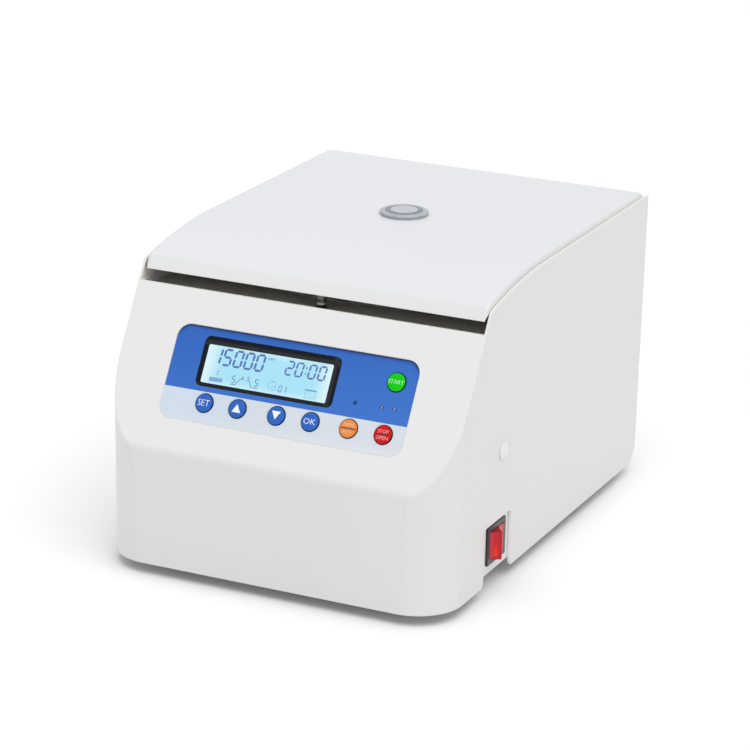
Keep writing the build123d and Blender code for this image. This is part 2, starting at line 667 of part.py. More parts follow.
with BuildPart() as inlet_pins:
    with BuildSketch(Plane.XZ.offset(-161)):
        with Locations((INLET_X - 7, INLET_Z - 2.6), (INLET_X + 7, INLET_Z - 2.6), (INLET_X, INLET_Z + 2.4)):
            Rectangle(2, 4)
    extrude(amount=-14)
    chamfer(inlet_pins.edges().group_by(Axis.Y)[-1], 0.4)

with BuildPart() as fuse_drawer:
    with BuildSketch(Plane.XZ.offset(-177.4)):
        with Locations((INLET_X, FUSE_Z)):
            Rectangle(21.6, 8.0)
    extrude(amount=23.6)
    with BuildSketch(Plane.XY.offset(FUSE_Z + 5)):
        with Locations((INLET_X, 164)):
            Rectangle(20.4, 15.6)
    extrude(amount=-7.2, mode=Mode.SUBTRACT)
    # finger notch in the drawer's front
    with BuildSketch(Plane.XZ.offset(-177.5)):
        with Locations((INLET_X, FUSE_Z + 3)):
            Rectangle(8, 2.4)
    extrude(amount=2, mode=Mode.SUBTRACT)

with BuildPart() as fuses:
    with BuildSketch(Plane.YZ.offset(INLET_X - 10)):
        with Locations((160.4, FUSE_Z + 0.4), (167.6, FUSE_Z + 0.4)):
            Circle(2.5)
    extrude(amount=20)

# ---------------------------------------------------------------- mains rocker switch
with BuildPart() as switch_housing:
    with BuildSketch(Plane.YZ.offset(PLATE_X)) as bezel:
        with Locations((SWITCH_Y, SWITCH_Z - 0.2)):
            RectangleRounded(30.4, 27.8, 1.6)
    extrude(amount=1.8)
    chamfer(switch_housing.faces().sort_by(Axis.X)[-1].edges(), 0.5)
    with BuildSketch(Plane.YZ.offset(PLATE_X)):
        with Locations((SWITCH_Y, SWITCH_Z)):
            Rectangle(27.0, 22.8)
    extrude(amount=-21.4)
    with BuildSketch(Plane.YZ.offset(PLATE_X + 5)):
        with Locations((SWITCH_Y, SWITCH_Z)):
            Rectangle(24.4, 20.3)
    extrude(amount=-20, mode=Mode.SUBTRACT)
    with BuildSketch(Plane.XY):
        with Locations((PIVOT_X, SWITCH_Y)):
            Circle(1.56)
    extrude(amount=80, mode=Mode.SUBTRACT)

with BuildPart() as switch_terminals:
    with BuildSketch(Plane.YZ.offset(PLATE_X - 21.4)):
        with Locations([(SWITCH_Y + a, SWITCH_Z + b) for a in (-10, 0, 10) for b in (-5, 5)]):
            Rectangle(6.3, 0.8)
    extrude(amount=-9)

ROCK = Plane(
    origin=(PIVOT_X, SWITCH_Y, SWITCH_Z - 9.85),
    x_dir=(cos(radians(SWITCH_TILT)), sin(radians(SWITCH_TILT)), 0),
    z_dir=(0, 0, 1),
)
with BuildPart() as rocker:
    with BuildSketch(ROCK) as side:
        with BuildLine():
            Line((8.1, -10.05), (5.3, -3.6))
            ThreePointArc((5.3, -3.6), (4.9, 0), (5.3, 3.6))
            Polyline((5.3, 3.6), (8.1, 10.05), (-0.65, 11.38), (-6.0, 7.5), (-6.0, -7.5), (-0.65, -11.38), (8.1, -10.05))
        make_face()
        fillet(side.vertices().filter_by(lambda v: v.X > 7), 0.7)
    extrude(amount=19.7)
    with BuildSketch(ROCK.offset(-0.9)):
        Circle(1.5)
    extrude(amount=21.5)

# ---------------------------------------------------------------- side fixings
with BuildPart() as side_caps:
    for side in (-1, 1):
        with BuildSketch(Plane(origin=(side * (HALF_W + 0.05), CAP_Y, CAP_Z), x_dir=(0, 1, 0), z_dir=(0, 0, 1))):
            with BuildLine():
                h = -side
                m = dome(6.5, 0.8, 3.0)
                Polyline((0, h * 1.9), (4.4, h * 1.9), (4.4, 0), (6.5, 0), (6.5, h * 0.8))
                ThreePointArc((6.5, h * 0.8), (m[0], h * m[1]), (0, h * 3.0))
                Line((0, h * 3.0), (0, h * 1.9))
            make_face()
        revolve(axis=Axis((0, CAP_Y, CAP_Z), (1, 0, 0)))

with BuildPart() as side_screws:
    for side in (-1, 1):
        with BuildSketch(Plane.YZ.offset(side * HALF_W)):
            with Locations((CAP_Y, CAP_Z)):
                Circle(3.6)
        extrude(amount=side * 1.7)
        with BuildSketch(Plane.YZ.offset(side * HALF_W)):
            with Locations((CAP_Y, CAP_Z)):
                Circle(1.95)
        extrude(amount=-side * 12)

# ---------------------------------------------------------------- lid latch
with BuildPart() as latch_frame:
    with BuildSketch(Plane.XY.offset(172.8)):
        with Locations((-16, STRIKER_Y)):
            Rectangle(76, 28)
        with Locations((0, STRIKER_Y)):
            Circle(4.4, mode=Mode.SUBTRACT)
        with Locations((-17, STRIKER_Y)):
            Rectangle(16, 9, mode=Mode.SUBTRACT)
    extrude(amount=1.6)
    with BuildSketch(Plane.XY.offset(172.8)):
        with Locations((-53.2, STRIKER_Y), (21.2, STRIKER_Y)):
            Rectangle(1.6, 28)
    extrude(amount=LEDGE_Z0 - 172.8)

with BuildPart() as latch_bolt:
    with BuildSketch(Plane.XY.offset(175.5)) as blade:
        with Locations((-19.75, STRIKER_Y)):
            Rectangle(32, 12)
        fillet(blade.vertices().group_by(Axis.X)[-1], 1.2)
        with Locations((-5.75, STRIKER_Y)):
            Rectangle(6, 4.8, mode=Mode.SUBTRACT)
    extrude(amount=2)
    with BuildSketch(Plane.XY.offset(155.5)):
        with Locations((-20.6, STRIKER_Y)):
            Rectangle(2, 8)
    extrude(amount=20.5)
    with BuildSketch(Plane.YZ.offset(-22)):
        with Locations((STRIKER_Y, 161)):
            Circle(2.0)
    extrude(amount=5, mode=Mode.SUBTRACT)

with BuildPart() as solenoid_plunger:
    with BuildSketch(Plane.YZ.offset(-21.6)):
        with Locations((STRIKER_Y, 161)):
            Circle(3.5)
    extrude(amount=-24)
    with BuildSketch(Plane.YZ.offset(-21.6)):
        with Locations((STRIKER_Y, 161)):
            Circle(1.95)
    extrude(amount=2.6)

with BuildPart() as latch_solenoid:
    with BuildSketch(Plane.XY.offset(150.6)):
        with Locations((-41, STRIKER_Y)):
            Rectangle(26, 21)
    extrude(amount=22.2)
    with BuildSketch(Plane.YZ.offset(-20)):
        with Locations((STRIKER_Y, 161)):
            Circle(3.56)
    extrude(amount=-31, mode=Mode.SUBTRACT)
    fillet(latch_solenoid.edges().filter_by(Axis.X).group_by(Axis.Z)[0], 2.0)

with BuildPart() as lid_sensor:
    with BuildSketch(Plane.XY.offset(174.4)):
        with Locations((13, STRIKER_Y)):
            Rectangle(12.8, 6.4)
    extrude(amount=4.6)
    with BuildSketch(Plane.YZ.offset(5.6)):
        with Locations((STRIKER_Y, 177.6)):
            Rectangle(3, 0.6)
    extrude(amount=2)

# ---------------------------------------------------------------- lid
l_flat, l_mid, l_end, (l1, l2, l3) = roof(LID_TOP - WALL_TOP, 0, LIP_R)
lip = (slope_y(LID_BOTTOM), LID_BOTTOM)
back_foot = (HINGE_Y + sqrt(HINGE_R**2 - (HINGE_Z - LID_BOTTOM) ** 2), LID_BOTTOM)
BACK_Y = HINGE_Y + HINGE_R           # rear face of the lid
b1, b2, b3 = corner((0, LID_TOP), (BACK_Y, LID_TOP), (BACK_Y, HINGE_Z), LID_BACK_R)
c1, c2, c3 = corner((0, LID_TOP - LID_T), (BACK_Y - LID_T, LID_TOP - LID_T), (BACK_Y - LID_T, HINGE_Z), LID_BACK_R - LID_T + 0.2)
LID_HALF = INNER_W + LID_RELIEF - LID_GAP

m_flat, m_mid, m_end, (m1, m2, m3) = roof(LID_TOP - WALL_TOP - LID_T, -LID_T, LIP_R - LID_T + 0.2)
inner_lip = (slope_y(LID_BOTTOM - 5, LID_T), LID_BOTTOM - 5)
BOSSES = [(sx * 117.5, y) for sx in (-1, 1) for y in (-92.0, 35.5, 138.0)]

with BuildPart() as lid_hollow:
    with BuildSketch(Plane.YZ):
        with BuildLine():
            Line(c1, m_flat)
            ThreePointArc(m_flat, m_mid, m_end)
            Line(m_end, m1)
            ThreePointArc(m1, m2, m3)
            Polyline(m3, inner_lip, (HINGE_Y + 15, LID_BOTTOM - 5), (HINGE_Y + 15, HINGE_Z - 2.4), (BACK_Y - LID_T, HINGE_Z - 2.4), c3)
            ThreePointArc(c3, c2, c1)
        make_face()
    extrude(amount=LID_HALF - LID_T, both=True)

with BuildPart() as lid_cover:
    with BuildSketch(Plane.YZ):
        with BuildLine():
            Line(b1, l_flat)
            ThreePointArc(l_flat, l_mid, l_end)
            Line(l_end, l1)
            ThreePointArc(l1, l2, l3)
            Polyline(l3, lip, back_foot)
            ThreePointArc(
                back_foot,
                (HINGE_Y + HINGE_R * cos(radians(20)), HINGE_Z - HINGE_R * sin(radians(20))),
                (BACK_Y, HINGE_Z),
            )
            Line((BACK_Y, HINGE_Z), b3)
            ThreePointArc(b3, b2, b1)
        make_face()
    extrude(amount=LID_HALF, both=True)
    sides = lid_cover.faces().filter_by(Axis.X).edges().filter_by(lambda e: e.center().Z > LID_BOTTOM + 1.5)
    fillet(sides, LID_EDGE_R)
    add(lid_hollow.part, mode=Mode.SUBTRACT)
    # bosses for the liner's screws
    with BuildSketch(Plane.XY.offset(LID_BOTTOM + LINER_T)):
        with Locations(BOSSES):
            Circle(3.6)
        with Locations([(x + (5 if x > 0 else -5), y) for x, y in BOSSES]):
            Rectangle(6.4, 2.4)
    extrude(amount=5.5)
    with BuildSketch(Plane.XY.offset(LID_BOTTOM)):
        with Locations(BOSSES):
            Circle(1.3)
    extrude(amount=5, mode=Mode.SUBTRACT)
    with BuildSketch(Plane.XY.offset(LID_BOTTOM)):
        with Locations((0, SPIN_Y)):
            Circle(12.4)
    extrude(amount=30, mode=Mode.SUBTRACT)

with BuildPart() as lid_liner:
    with BuildSketch(Plane.XY.offset(LID_BOTTOM)) as plan:
        with Locations((0, (-109.6 + 148.6) / 2)):
            Rectangle(2 * (LID_HALF - LID_T - 0.3), 148.6 + 109.6)
        fillet(plan.vertices(), 3.0)
        with Locations((0, SPIN_Y)):
            Circle(12.4, mode=Mode.SUBTRACT)
        with Locations(BOSSES):
            Circle(1.6, mode=Mode.SUBTRACT)
    extrude(amount=LINER_T)

with BuildPart() as lid_screws:
    with BuildSketch(Plane.XY.offset(LID_BOTTOM - 1.2)):
        with Locations(BOSSES):
            Circle(2.8)
    extrude(amount=1.2)
    fillet(lid_screws.edges().group_by(Axis.Z)[0], 0.6)
    with BuildSketch(Plane.XY.offset(LID_BOTTOM)):
        with Locations(BOSSES):
            Circle(1.25)
    extrude(amount=4.6)

with BuildPart() as sight_window:
    with BuildSketch(SPIN_SECTION):
        with BuildLine():
            Polyline((0, LID_BOTTOM + 0.4), (12.0, LID_BOTTOM + 0.4), (12.0, LID_TOP), (17.5, LID_TOP), (17.5, LID_TOP + 1.5))
            ThreePointArc((17.5, LID_TOP + 1.5), (17.1, LID_TOP + 2.2), (16.4, LID_TOP + 2.5))
            ThreePointArc((16.4, LID_TOP + 2.5), dome(16.4, LID_TOP + 2.5, LID_TOP + 3.7), (0, LID_TOP + 3.7))
            Line((0, LID_TOP + 3.7), (0, LID_BOTTOM + 0.4))
        make_face()
    revolve(axis=SPIN)

with BuildPart() as window_nut:
    with BuildSketch(Plane.XY.offset(LID_TOP - LID_T - 4)):
        with Locations((0, SPIN_Y)):
            RegularPolygon(19.0, 6)
            Circle(12.1, mode=Mode.SUBTRACT)
    extrude(amount=4)

with BuildPart() as striker:
    with BuildSketch(Plane.XY.offset(LID_BOTTOM - 2)):
        with Locations((0, STRIKER_Y)):
            RectangleRounded(26, 15, 2)
    extrude(amount=2)
    with BuildSketch(Plane(origin=(0, STRIKER_Y, 0), x_dir=(1, 0, 0), z_dir=(0, -1, 0))):
        with BuildLine():
            Polyline(
                (0, LID_BOTTOM - 1), (3.25, LID_BOTTOM - 1), (3.25, 178.5), (2.0, 178.5), (2.0, 174.4), (3.0, 174.4),
                (3.0, 172.6), (1.4, 170.2), (0, 170.2), close=True,
            )
        make_face()
    revolve(axis=Axis((0, STRIKER_Y, 0), (0, 0, 1)))

# ---------------------------------------------------------------- hinges
with BuildPart() as hinge_brackets:
    for side in (-1, 1):
        with BuildSketch(Plane.YZ.offset(side * HINGE_X)):
            with BuildLine():
                Polyline(
                    (HINGE_Y - 3.2, HINGE_Z - 3.6), (HINGE_Y - 1.6, 196), (HINGE_Y - 1.0, 184), (HINGE_Y - 1.0, LEDGE_Z1),
                    (151, LEDGE_Z1), (151, 188), (HINGE_Y - 9.5, 197.0), (HINGE_Y - 4.4, HINGE_Z - 1.0), close=True,
                )
            make_face()
            with Locations((HINGE_Y, HINGE_Z)):
                Circle(5.0)
                Circle(PIN_R + 0.05, mode=Mode.SUBTRACT)
        extrude(amount=1.5, both=True)
        with BuildSketch(Plane.XY.offset(LEDGE_Z1)):
            with Locations((side * (HINGE_X - 6), 157)):
                RectangleRounded(24, 12, 2)
        extrude(amount=2)

with BuildPart() as hinge_arms:
    for side in (-1, 1):
        with BuildSketch(Plane.YZ.offset(side * (HINGE_X + 2.2))):
            with BuildLine():
                Polyline(
                    (HINGE_Y, HINGE_Z + 5.4), (122, HINGE_Z + 3), (116, LID_BOTTOM + LINER_T + 1), (116, LID_BOTTOM + LINER_T),
                    (146, LID_BOTTOM + LINER_T), (HINGE_Y - 5, HINGE_Z - 4.0), close=True,
                )
            make_face()
            with Locations((HINGE_Y, HINGE_Z)):
                Circle(5.6)
                Circle(PIN_R + 0.02, mode=Mode.SUBTRACT)
        extrude(amount=side * 3)
        with BuildSketch(Plane.XY.offset(LID_BOTTOM + LINER_T)):
            with Locations((side * (HINGE_X + 11.2), 131)):
                RectangleRounded(18, 28, 2)
        extrude(amount=2)

with BuildPart() as hinge_pins:
    for side in (-1, 1):
        with BuildSketch(Plane.YZ.offset(side * (HINGE_X - 3.6))):
            with Locations((HINGE_Y, HINGE_Z)):
                Circle(4.2)
        extrude(amount=side * 1.6)
        with BuildSketch(Plane.YZ.offset(side * (HINGE_X - 2.0))):
            with Locations((HINGE_Y, HINGE_Z)):
                Circle(PIN_R)
        extrude(amount=side * 8.4)

# ---------------------------------------------------------------- write one STEP per piece
pieces = {
    "housing_shell": housing_shell, "chassis_tray": chassis_tray, "rear_panel": rear_panel,
    "panel_screws": panel_screws, "deck_plate": deck_plate, "chamber_bowl": chamber_bowl,
    "bowl_gasket": bowl_gasket, "motor_plate": motor_plate, "standoffs": standoffs,
    "motor_dampers": motor_dampers, "motor_housing": motor_housing, "shaft_boot": shaft_boot,
    "motor_shaft": motor_shaft, "rotor_disc": rotor_disc, "rim_gasket": rim_gasket,
    "rotor_cover": rotor_cover, "cover_knob": cover_knob, "feet": feet, "foot_screws": foot_screws,
    "control_label": control_label, "display_frame": display_frame, "display_lens": display_lens,
    "lcd_module": lcd_module, "control_board": control_board, "tact_switches": tact_switches,
    "indicator_leds": indicator_leds, "driver_board": driver_board, "board_capacitors": board_capacitors,
    "heatsink": heatsink, "transformer": transformer, "inlet_socket": inlet_socket,
    "inlet_pins": inlet_pins, "fuse_drawer": fuse_drawer, "fuses": fuses,
    "switch_housing": switch_housing, "switch_terminals": switch_terminals, "rocker": rocker,
    "side_caps": side_caps, "side_screws": side_screws, "latch_frame": latch_frame,
    "latch_bolt": latch_bolt, "solenoid_plunger": solenoid_plunger, "latch_solenoid": latch_solenoid,
    "lid_sensor": lid_sensor, "lid_cover": lid_cover, "lid_liner": lid_liner, "lid_screws": lid_screws,
    "sight_window": sight_window, "window_nut": window_nut, "striker": striker,
    "hinge_brackets": hinge_brackets, "hinge_arms": hinge_arms, "hinge_pins": hinge_pins,
    **caps,
}
for name, piece in pieces.items():
    piece.part.label = name
    export_step(piece.part, f"parts/{name}.step")
print(len(pieces), "pieces")
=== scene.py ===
import math

import bmesh
import bpy
import numpy as np
from mathutils import Matrix, Vector


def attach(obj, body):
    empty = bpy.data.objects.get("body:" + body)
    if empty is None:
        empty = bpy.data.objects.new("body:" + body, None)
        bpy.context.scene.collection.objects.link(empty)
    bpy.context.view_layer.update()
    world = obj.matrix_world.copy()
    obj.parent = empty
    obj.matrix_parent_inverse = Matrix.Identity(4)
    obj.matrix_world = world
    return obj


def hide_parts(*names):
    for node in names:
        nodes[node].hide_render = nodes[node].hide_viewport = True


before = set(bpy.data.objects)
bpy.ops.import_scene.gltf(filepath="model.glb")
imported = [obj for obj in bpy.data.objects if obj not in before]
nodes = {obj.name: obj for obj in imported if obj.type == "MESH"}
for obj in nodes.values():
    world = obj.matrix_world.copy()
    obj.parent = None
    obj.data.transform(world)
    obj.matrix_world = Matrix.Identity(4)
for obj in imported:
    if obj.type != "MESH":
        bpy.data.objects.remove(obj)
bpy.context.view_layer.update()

MM = 0.001
SLOPE = math.radians(59.42)
EDGE = Vector((0.0, -0.11872, 0.19097))          # upper edge of the control face
FX = Vector((1.0, 0.0, 0.0))
FU = Vector((0.0, math.cos(SLOPE), math.sin(SLOPE)))     # up the slope
FN = Vector((0.0, -math.sin(SLOPE), math.cos(SLOPE)))    # out of the slope
FACE = Matrix((
    (FX.x, FU.x, FN.x, EDGE.x),
    (FX.y, FU.y, FN.y, EDGE.y),
    (FX.z, FU.z, FN.z, EDGE.z),
    (0, 0, 0, 1),
))
SPIN_Y = 0.0328
BUTTONS = {
    "start_button": (75.9, 41.3),
    "set_button": (-57.9, 77.4),
    "up_button": (-32.8, 77.4),
    "down_button": (-3.5, 77.4),
    "ok_button": (21.8, 77.4),
    "mode_button": (50.0, 77.4),
    "stop_button": (75.4, 77.4),
}
CAP_R = 6.3


def srgb(r, g, b):
    """A linear colour from 0-255 display values."""
    out = []
    for c in (r, g, b):
        c = c / 255.0
        out.append(c / 12.92 if c <= 0.04045 else ((c + 0.055) / 1.055) ** 2.4)
    return (*out, 1.0)


# ---------------------------------------------------------------- shader helpers
class Shader:
    def __init__(self, name):
        self.mat = bpy.data.materials.new(name)
        self.mat.use_nodes = True
        self.tree = self.mat.node_tree
        self.bsdf = self.tree.nodes["Principled BSDF"]
        self.out = self.tree.nodes["Material Output"]
        self.coord = self.add("ShaderNodeTexCoord").outputs["Object"]

    def add(self, kind, **values):
        n = self.tree.nodes.new(kind)
        for k, v in values.items():
            setattr(n, k, v)
        return n

    def link(self, a, b):
        self.tree.links.new(a, b)

    def put(self, socket, value):
        if hasattr(value, "is_output"):
            self.link(value, socket)
        else:
            socket.default_value = value

    def set(self, **values):
        for k, v in values.items():
            self.put(self.bsdf.inputs[k.replace("_", " ")], v)
        return self

    def stretched(self, vec, scale):
        n = self.add("ShaderNodeVectorMath", operation="MULTIPLY")
        self.link(vec, n.inputs[0])
        n.inputs[1].default_value = scale
        return n.outputs[0]

    def noise(self, scale, detail=2.0, rough=0.5, vec=None, distortion=0.0):
        n = self.add("ShaderNodeTexNoise")
        self.link(vec or self.coord, n.inputs["Vector"])
        n.inputs["Scale"].default_value = scale
        n.inputs["Detail"].default_value = detail
        n.inputs["Roughness"].default_value = rough
        n.inputs["Distortion"].default_value = distortion
        return n.outputs["Fac"]

    def voronoi(self, scale, feature="F1", vec=None, output="Distance"):
        n = self.add("ShaderNodeTexVoronoi", feature=feature)
        self.link(vec or self.coord, n.inputs["Vector"])
        n.inputs["Scale"].default_value = scale
        return n.outputs[output]

    def remap(self, value, a, b, c, d, smooth=False):
        n = self.add("ShaderNodeMapRange")
        n.interpolation_type = "SMOOTHSTEP" if smooth else "LINEAR"
        n.clamp = True
        self.put(n.inputs["Value"], value)
        for key, v in (("From Min", a), ("From Max", b), ("To Min", c), ("To Max", d)):
            n.inputs[key].default_value = v
        return n.outputs["Result"]

    def math(self, op, a, b=0.0, clamp=False):
        n = self.add("ShaderNodeMath", operation=op)
        n.use_clamp = clamp
        self.put(n.inputs[0], a)
        self.put(n.inputs[1], b)
        return n.outputs[0]

    def mix(self, fac, a, b):
        n = self.add("ShaderNodeMix", data_type="RGBA")
        self.put(n.inputs["Factor"], fac)
        self.put(n.inputs[6], a)
        self.put(n.inputs[7], b)
        return n.outputs[2]

    def dot(self, vec, origin=(0, 0, 0), base=None):
        """Distance along vec from origin, in metres, in the piece's own coordinates."""
        sub = self.add("ShaderNodeVectorMath", operation="SUBTRACT")
        self.link(base or self.coord, sub.inputs[0])
        sub.inputs[1].default_value = origin
        n = self.add("ShaderNodeVectorMath", operation="DOT_PRODUCT")
        self.link(sub.outputs[0], n.inputs[0])
        n.inputs[1].default_value = vec
        return n.outputs["Value"]

    def radius(self, centre, axis="Z"):
        """Distance from a line through centre along an axis."""
        sub = self.add("ShaderNodeVectorMath", operation="SUBTRACT")
        self.link(self.coord, sub.inputs[0])
        sub.inputs[1].default_value = centre
        mul = self.add("ShaderNodeVectorMath", operation="MULTIPLY")
        self.link(sub.outputs[0], mul.inputs[0])
        mul.inputs[1].default_value = {"X": (0, 1, 1), "Y": (1, 0, 1), "Z": (1, 1, 0)}[axis]
        n = self.add("ShaderNodeVectorMath", operation="LENGTH")
        self.link(mul.outputs[0], n.inputs[0])
        return n.outputs["Value"]

    def pack(self, x, y, z):
        n = self.add("ShaderNodeCombineXYZ")
        for i, v in enumerate((x, y, z)):
            self.put(n.inputs[i], v)
        return n.outputs[0]

    def bump(self, *layers, soften=0.0):
        """layers of (height, strength, distance in metres), stacked; soften rounds sharp edges by that radius."""
        normal = None
        if soften:
            b = self.add("ShaderNodeBevel")
            b.samples = 4
            b.inputs["Radius"].default_value = soften
            normal = b.outputs["Normal"]
        for height, strength, distance in layers:
            n = self.add("ShaderNodeBump")
            n.inputs["Strength"].default_value = strength
            n.inputs["Distance"].default_value = distance
            self.link(height, n.inputs["Height"])
            if normal is not None:
                self.link(normal, n.inputs["Normal"])
            normal = n.outputs["Normal"]
        self.link(normal, self.bsdf.inputs["Normal"])
        return self


def moulded(name, colour, warm, rough=(0.36, 0.46), grain=0.5, soften=0.0, coat=0.0, spec=0.5):
    """Moulded plastic: a fine spark-eroded grain, faint flow marks and a little tone drift."""
    s = Shader(name)
    drift = s.noise(7.0, 3.0, 0.55)
    fine = s.noise(2600.0, 2.0, 0.6)
    flow = s.noise(60.0, 4.0, 0.6, vec=s.stretched(s.coord, (1.0, 1.0, 0.35)))
    s.set(
        Base_Color=s.mix(s.remap(drift, 0.3, 0.7, 0.0, 1.0), colour, warm),
        Roughness=s.remap(s.math("ADD", s.math("MULTIPLY", fine, 0.5), s.math("MULTIPLY", flow, 0.5)), 0.3, 0.7, rough[0], rough[1]),
        Specular_IOR_Level=spec,
        Coat_Weight=coat,
        Coat_Roughness=0.12,
    )
    s.bump((flow, 0.25, 0.00012), (fine, grain, 0.00002), soften=soften)
    return s.mat


def powder(name, colour, warm, soften=0.0):
    """Powder coat on sheet metal: orange peel over a slightly uneven film."""
    s = Shader(name)
    peel = s.noise(750.0, 2.0, 0.5)
    specks = s.noise(4200.0, 1.0, 0.5)
    drift = s.noise(11.0, 3.0, 0.6)
    s.set(
        Base_Color=s.mix(s.remap(drift, 0.35, 0.7, 0.0, 1.0), colour, warm),
        Roughness=s.remap(specks, 0.3, 0.7, 0.34, 0.5),
    )
    s.bump((peel, 0.5, 0.00006), (specks, 0.25, 0.00001), soften=soften)
    return s.mat


def brushed(name, colour, dark, rough=(0.24, 0.4), about=None, axis="Z", along=(1.0, 30.0, 30.0), scale=260.0, soften=0.0):
    """Metal with a turned or brushed grain. about is a point on the turning axis, or None for a straight grain."""
    s = Shader(name)
    if about is not None:
        r = s.radius(about, axis)
        h = s.dot({"X": (1, 0, 0), "Y": (0, 1, 0), "Z": (0, 0, 1)}[axis])
        lines = s.noise(1.0, 5.0, 0.7, vec=s.pack(s.math("MULTIPLY", r, 2600.0), s.math("MULTIPLY", h, 2600.0), 0.0))
    else:
        lines = s.noise(scale, 4.0, 0.7, vec=s.stretched(s.coord, along))
    smudge = s.noise(26.0, 4.0, 0.6, distortion=0.6)
    s.set(
        Metallic=1.0,
        Base_Color=s.mix(s.remap(lines, 0.3, 0.7, 0.0, 1.0), dark, colour),
        Roughness=s.math("ADD", s.remap(lines, 0.25, 0.75, rough[0], rough[1]), s.remap(smudge, 0.4, 0.8, 0.0, 0.12)),
    )
    s.bump((lines, 0.35, 0.00002), soften=soften)
    return s.mat


def rubber(name, colour, lighter):
    s = Shader(name)
    fine = s.noise(1800.0, 3.0, 0.65)
    dust = s.noise(90.0, 5.0, 0.7)
    s.set(
        Base_Color=s.mix(s.remap(dust, 0.45, 0.8, 0.0, 1.0), colour, lighter),
        Roughness=s.remap(dust, 0.3, 0.7, 0.62, 0.8),
        Sheen_Weight=0.25,
        Sheen_Roughness=0.4,
    )
    s.bump((fine, 0.5, 0.00005), soften=0.0003)
    return s.mat


def glossy(name, colour, deeper, rough=(0.1, 0.2), bump=0.12, coat=0.4, spec=0.5):
    """A gloss moulding: shallow ripples and a few fine handling marks in the coat."""
    s = Shader(name)
    ripple = s.noise(240.0, 2.0, 0.5)
    marks = s.noise(700.0, 3.0, 0.7, vec=s.stretched(s.coord, (1.0, 0.15, 1.0)))
    s.set(
        Base_Color=s.mix(s.remap(ripple, 0.35, 0.7, 0.0, 1.0), colour, deeper),
        Roughness=s.remap(marks, 0.35, 0.75, rough[0], rough[1]),
        Coat_Weight=coat,
        Coat_Roughness=0.06,
        Specular_IOR_Level=spec,
    )
    s.bump((ripple, bump, 0.00004), soften=0.0002)
    return s.mat


# ---------------------------------------------------------------- materials
M = {}


def shell_plastic():
    """The housing's moulded white, with painted light on the control face and painted shade on the lower front and the
    sides, warm painted light on the hidden faces at the finger gap, and pale painted light in the switch notch, in the
    label pocket and along the wall tops at the lid's seam."""
    s = Shader("housing_plastic")
    x = s.math("ABSOLUTE", s.dot((1, 0, 0)))
    y = s.dot((0, 1, 0))
    z = s.dot((0, 0, 1))
    drift = s.noise(7.0, 3.0, 0.55)
    fine = s.noise(2600.0, 2.0, 0.6)
    flow = s.noise(60.0, 4.0, 0.6, vec=s.stretched(s.coord, (1.0, 1.0, 0.35)))
    face = s.mix(s.remap(drift, 0.3, 0.7, 0.0, 1.0), (0.742, 0.739, 0.734, 1), (0.732, 0.727, 0.719, 1))
    # warm painted light on the inner faces at the finger gap, where shade falls
    gap = s.math("MULTIPLY", s.remap(x, 0.1292, 0.1286, 0.0, 1.0), s.math("MULTIPLY", s.remap(z, 0.1896, 0.1902, 0.0, 1.0), s.remap(y, -0.098, -0.104, 0.0, 1.0)))
    # pale painted light in the switch notch, against its shade
    notch = s.math("MULTIPLY", s.remap(x, 0.1272, 0.1276, 0.0, 1.0), s.math("MULTIPLY", s.remap(z, 0.0500, 0.0506, 1.0, 0.0), s.math("MULTIPLY", s.remap(y, -0.0640, -0.0636, 0.0, 1.0), s.remap(y, -0.0630, -0.0626, 1.0, 0.0))))
    down = s.dot(tuple(-FU), tuple(EDGE))
    out = s.dot(tuple(FN), tuple(EDGE))
    # painted light brightens the control face; painted shade darkens the lower front and the sides
    slope = s.math("MULTIPLY", s.remap(out, -0.0016, -0.0006, 0.0, 1.0, True), s.remap(z, 0.0905, 0.0950, 0.0, 1.0, True))
    front = s.math("MULTIPLY", s.remap(z, 0.0955, 0.0908, 0.0, 1.0, True), s.remap(y, -0.1675, -0.1773, 0.0, 1.0, True))
    front = s.math("MULTIPLY", front, s.remap(s.dot((1, 0, 0)), 0.010, 0.100, 1.0, 0.4, True))
    # near-white painted light in the label pocket, against the recess's shade
    pocket = s.math("MULTIPLY", s.math("MULTIPLY", s.remap(out, -0.00010, -0.00016, 0.0, 1.0), s.remap(out, -0.00110, -0.00120, 1.0, 0.0)), s.math("MULTIPLY", s.remap(x, 0.0915, 0.0918, 1.0, 0.0), s.math("MULTIPLY", s.remap(down, 0.0240, 0.0243, 0.0, 1.0), s.remap(down, 0.0926, 0.0930, 1.0, 0.0))))
    side = s.remap(s.math("SUBTRACT", x, s.math("MULTIPLY", z, 0.00698)), 0.1284, 0.1291, 0.0, 1.0, True)
    face = s.mix(slope, face, (0.765, 0.763, 0.759, 1))
    face = s.mix(front, face, (0.710, 0.708, 0.706, 1))
    face = s.mix(side, face, (0.724, 0.717, 0.710, 1))
    face = s.mix(pocket, face, (0.95, 0.95, 0.945, 1))
    # pale painted highlight along the wall tops beside the lid's seam
    seam = s.math("MULTIPLY", s.remap(x, 0.1296, 0.1292, 0.0, 1.0), s.math("MULTIPLY", s.remap(z, 0.1930, 0.1950, 0.0, 1.0), s.remap(y, -0.1085, -0.1060, 0.0, 1.0)))
    base = s.mix(seam, face, (0.95, 0.93, 0.89, 1))
    base = s.mix(gap, base, (0.97, 0.94, 0.86, 1))
    s.set(
        Base_Color=s.mix(notch, base, (0.95, 0.945, 0.94, 1)),
        Roughness=s.remap(s.math("ADD", s.math("MULTIPLY", fine, 0.5), s.math("MULTIPLY", flow, 0.5)), 0.3, 0.7, 0.36, 0.46),
    )
    s.bump((flow, 0.25, 0.00012), (fine, 0.5, 0.00002), soften=0.0005)
    return s.mat


M["housing"] = shell_plastic()


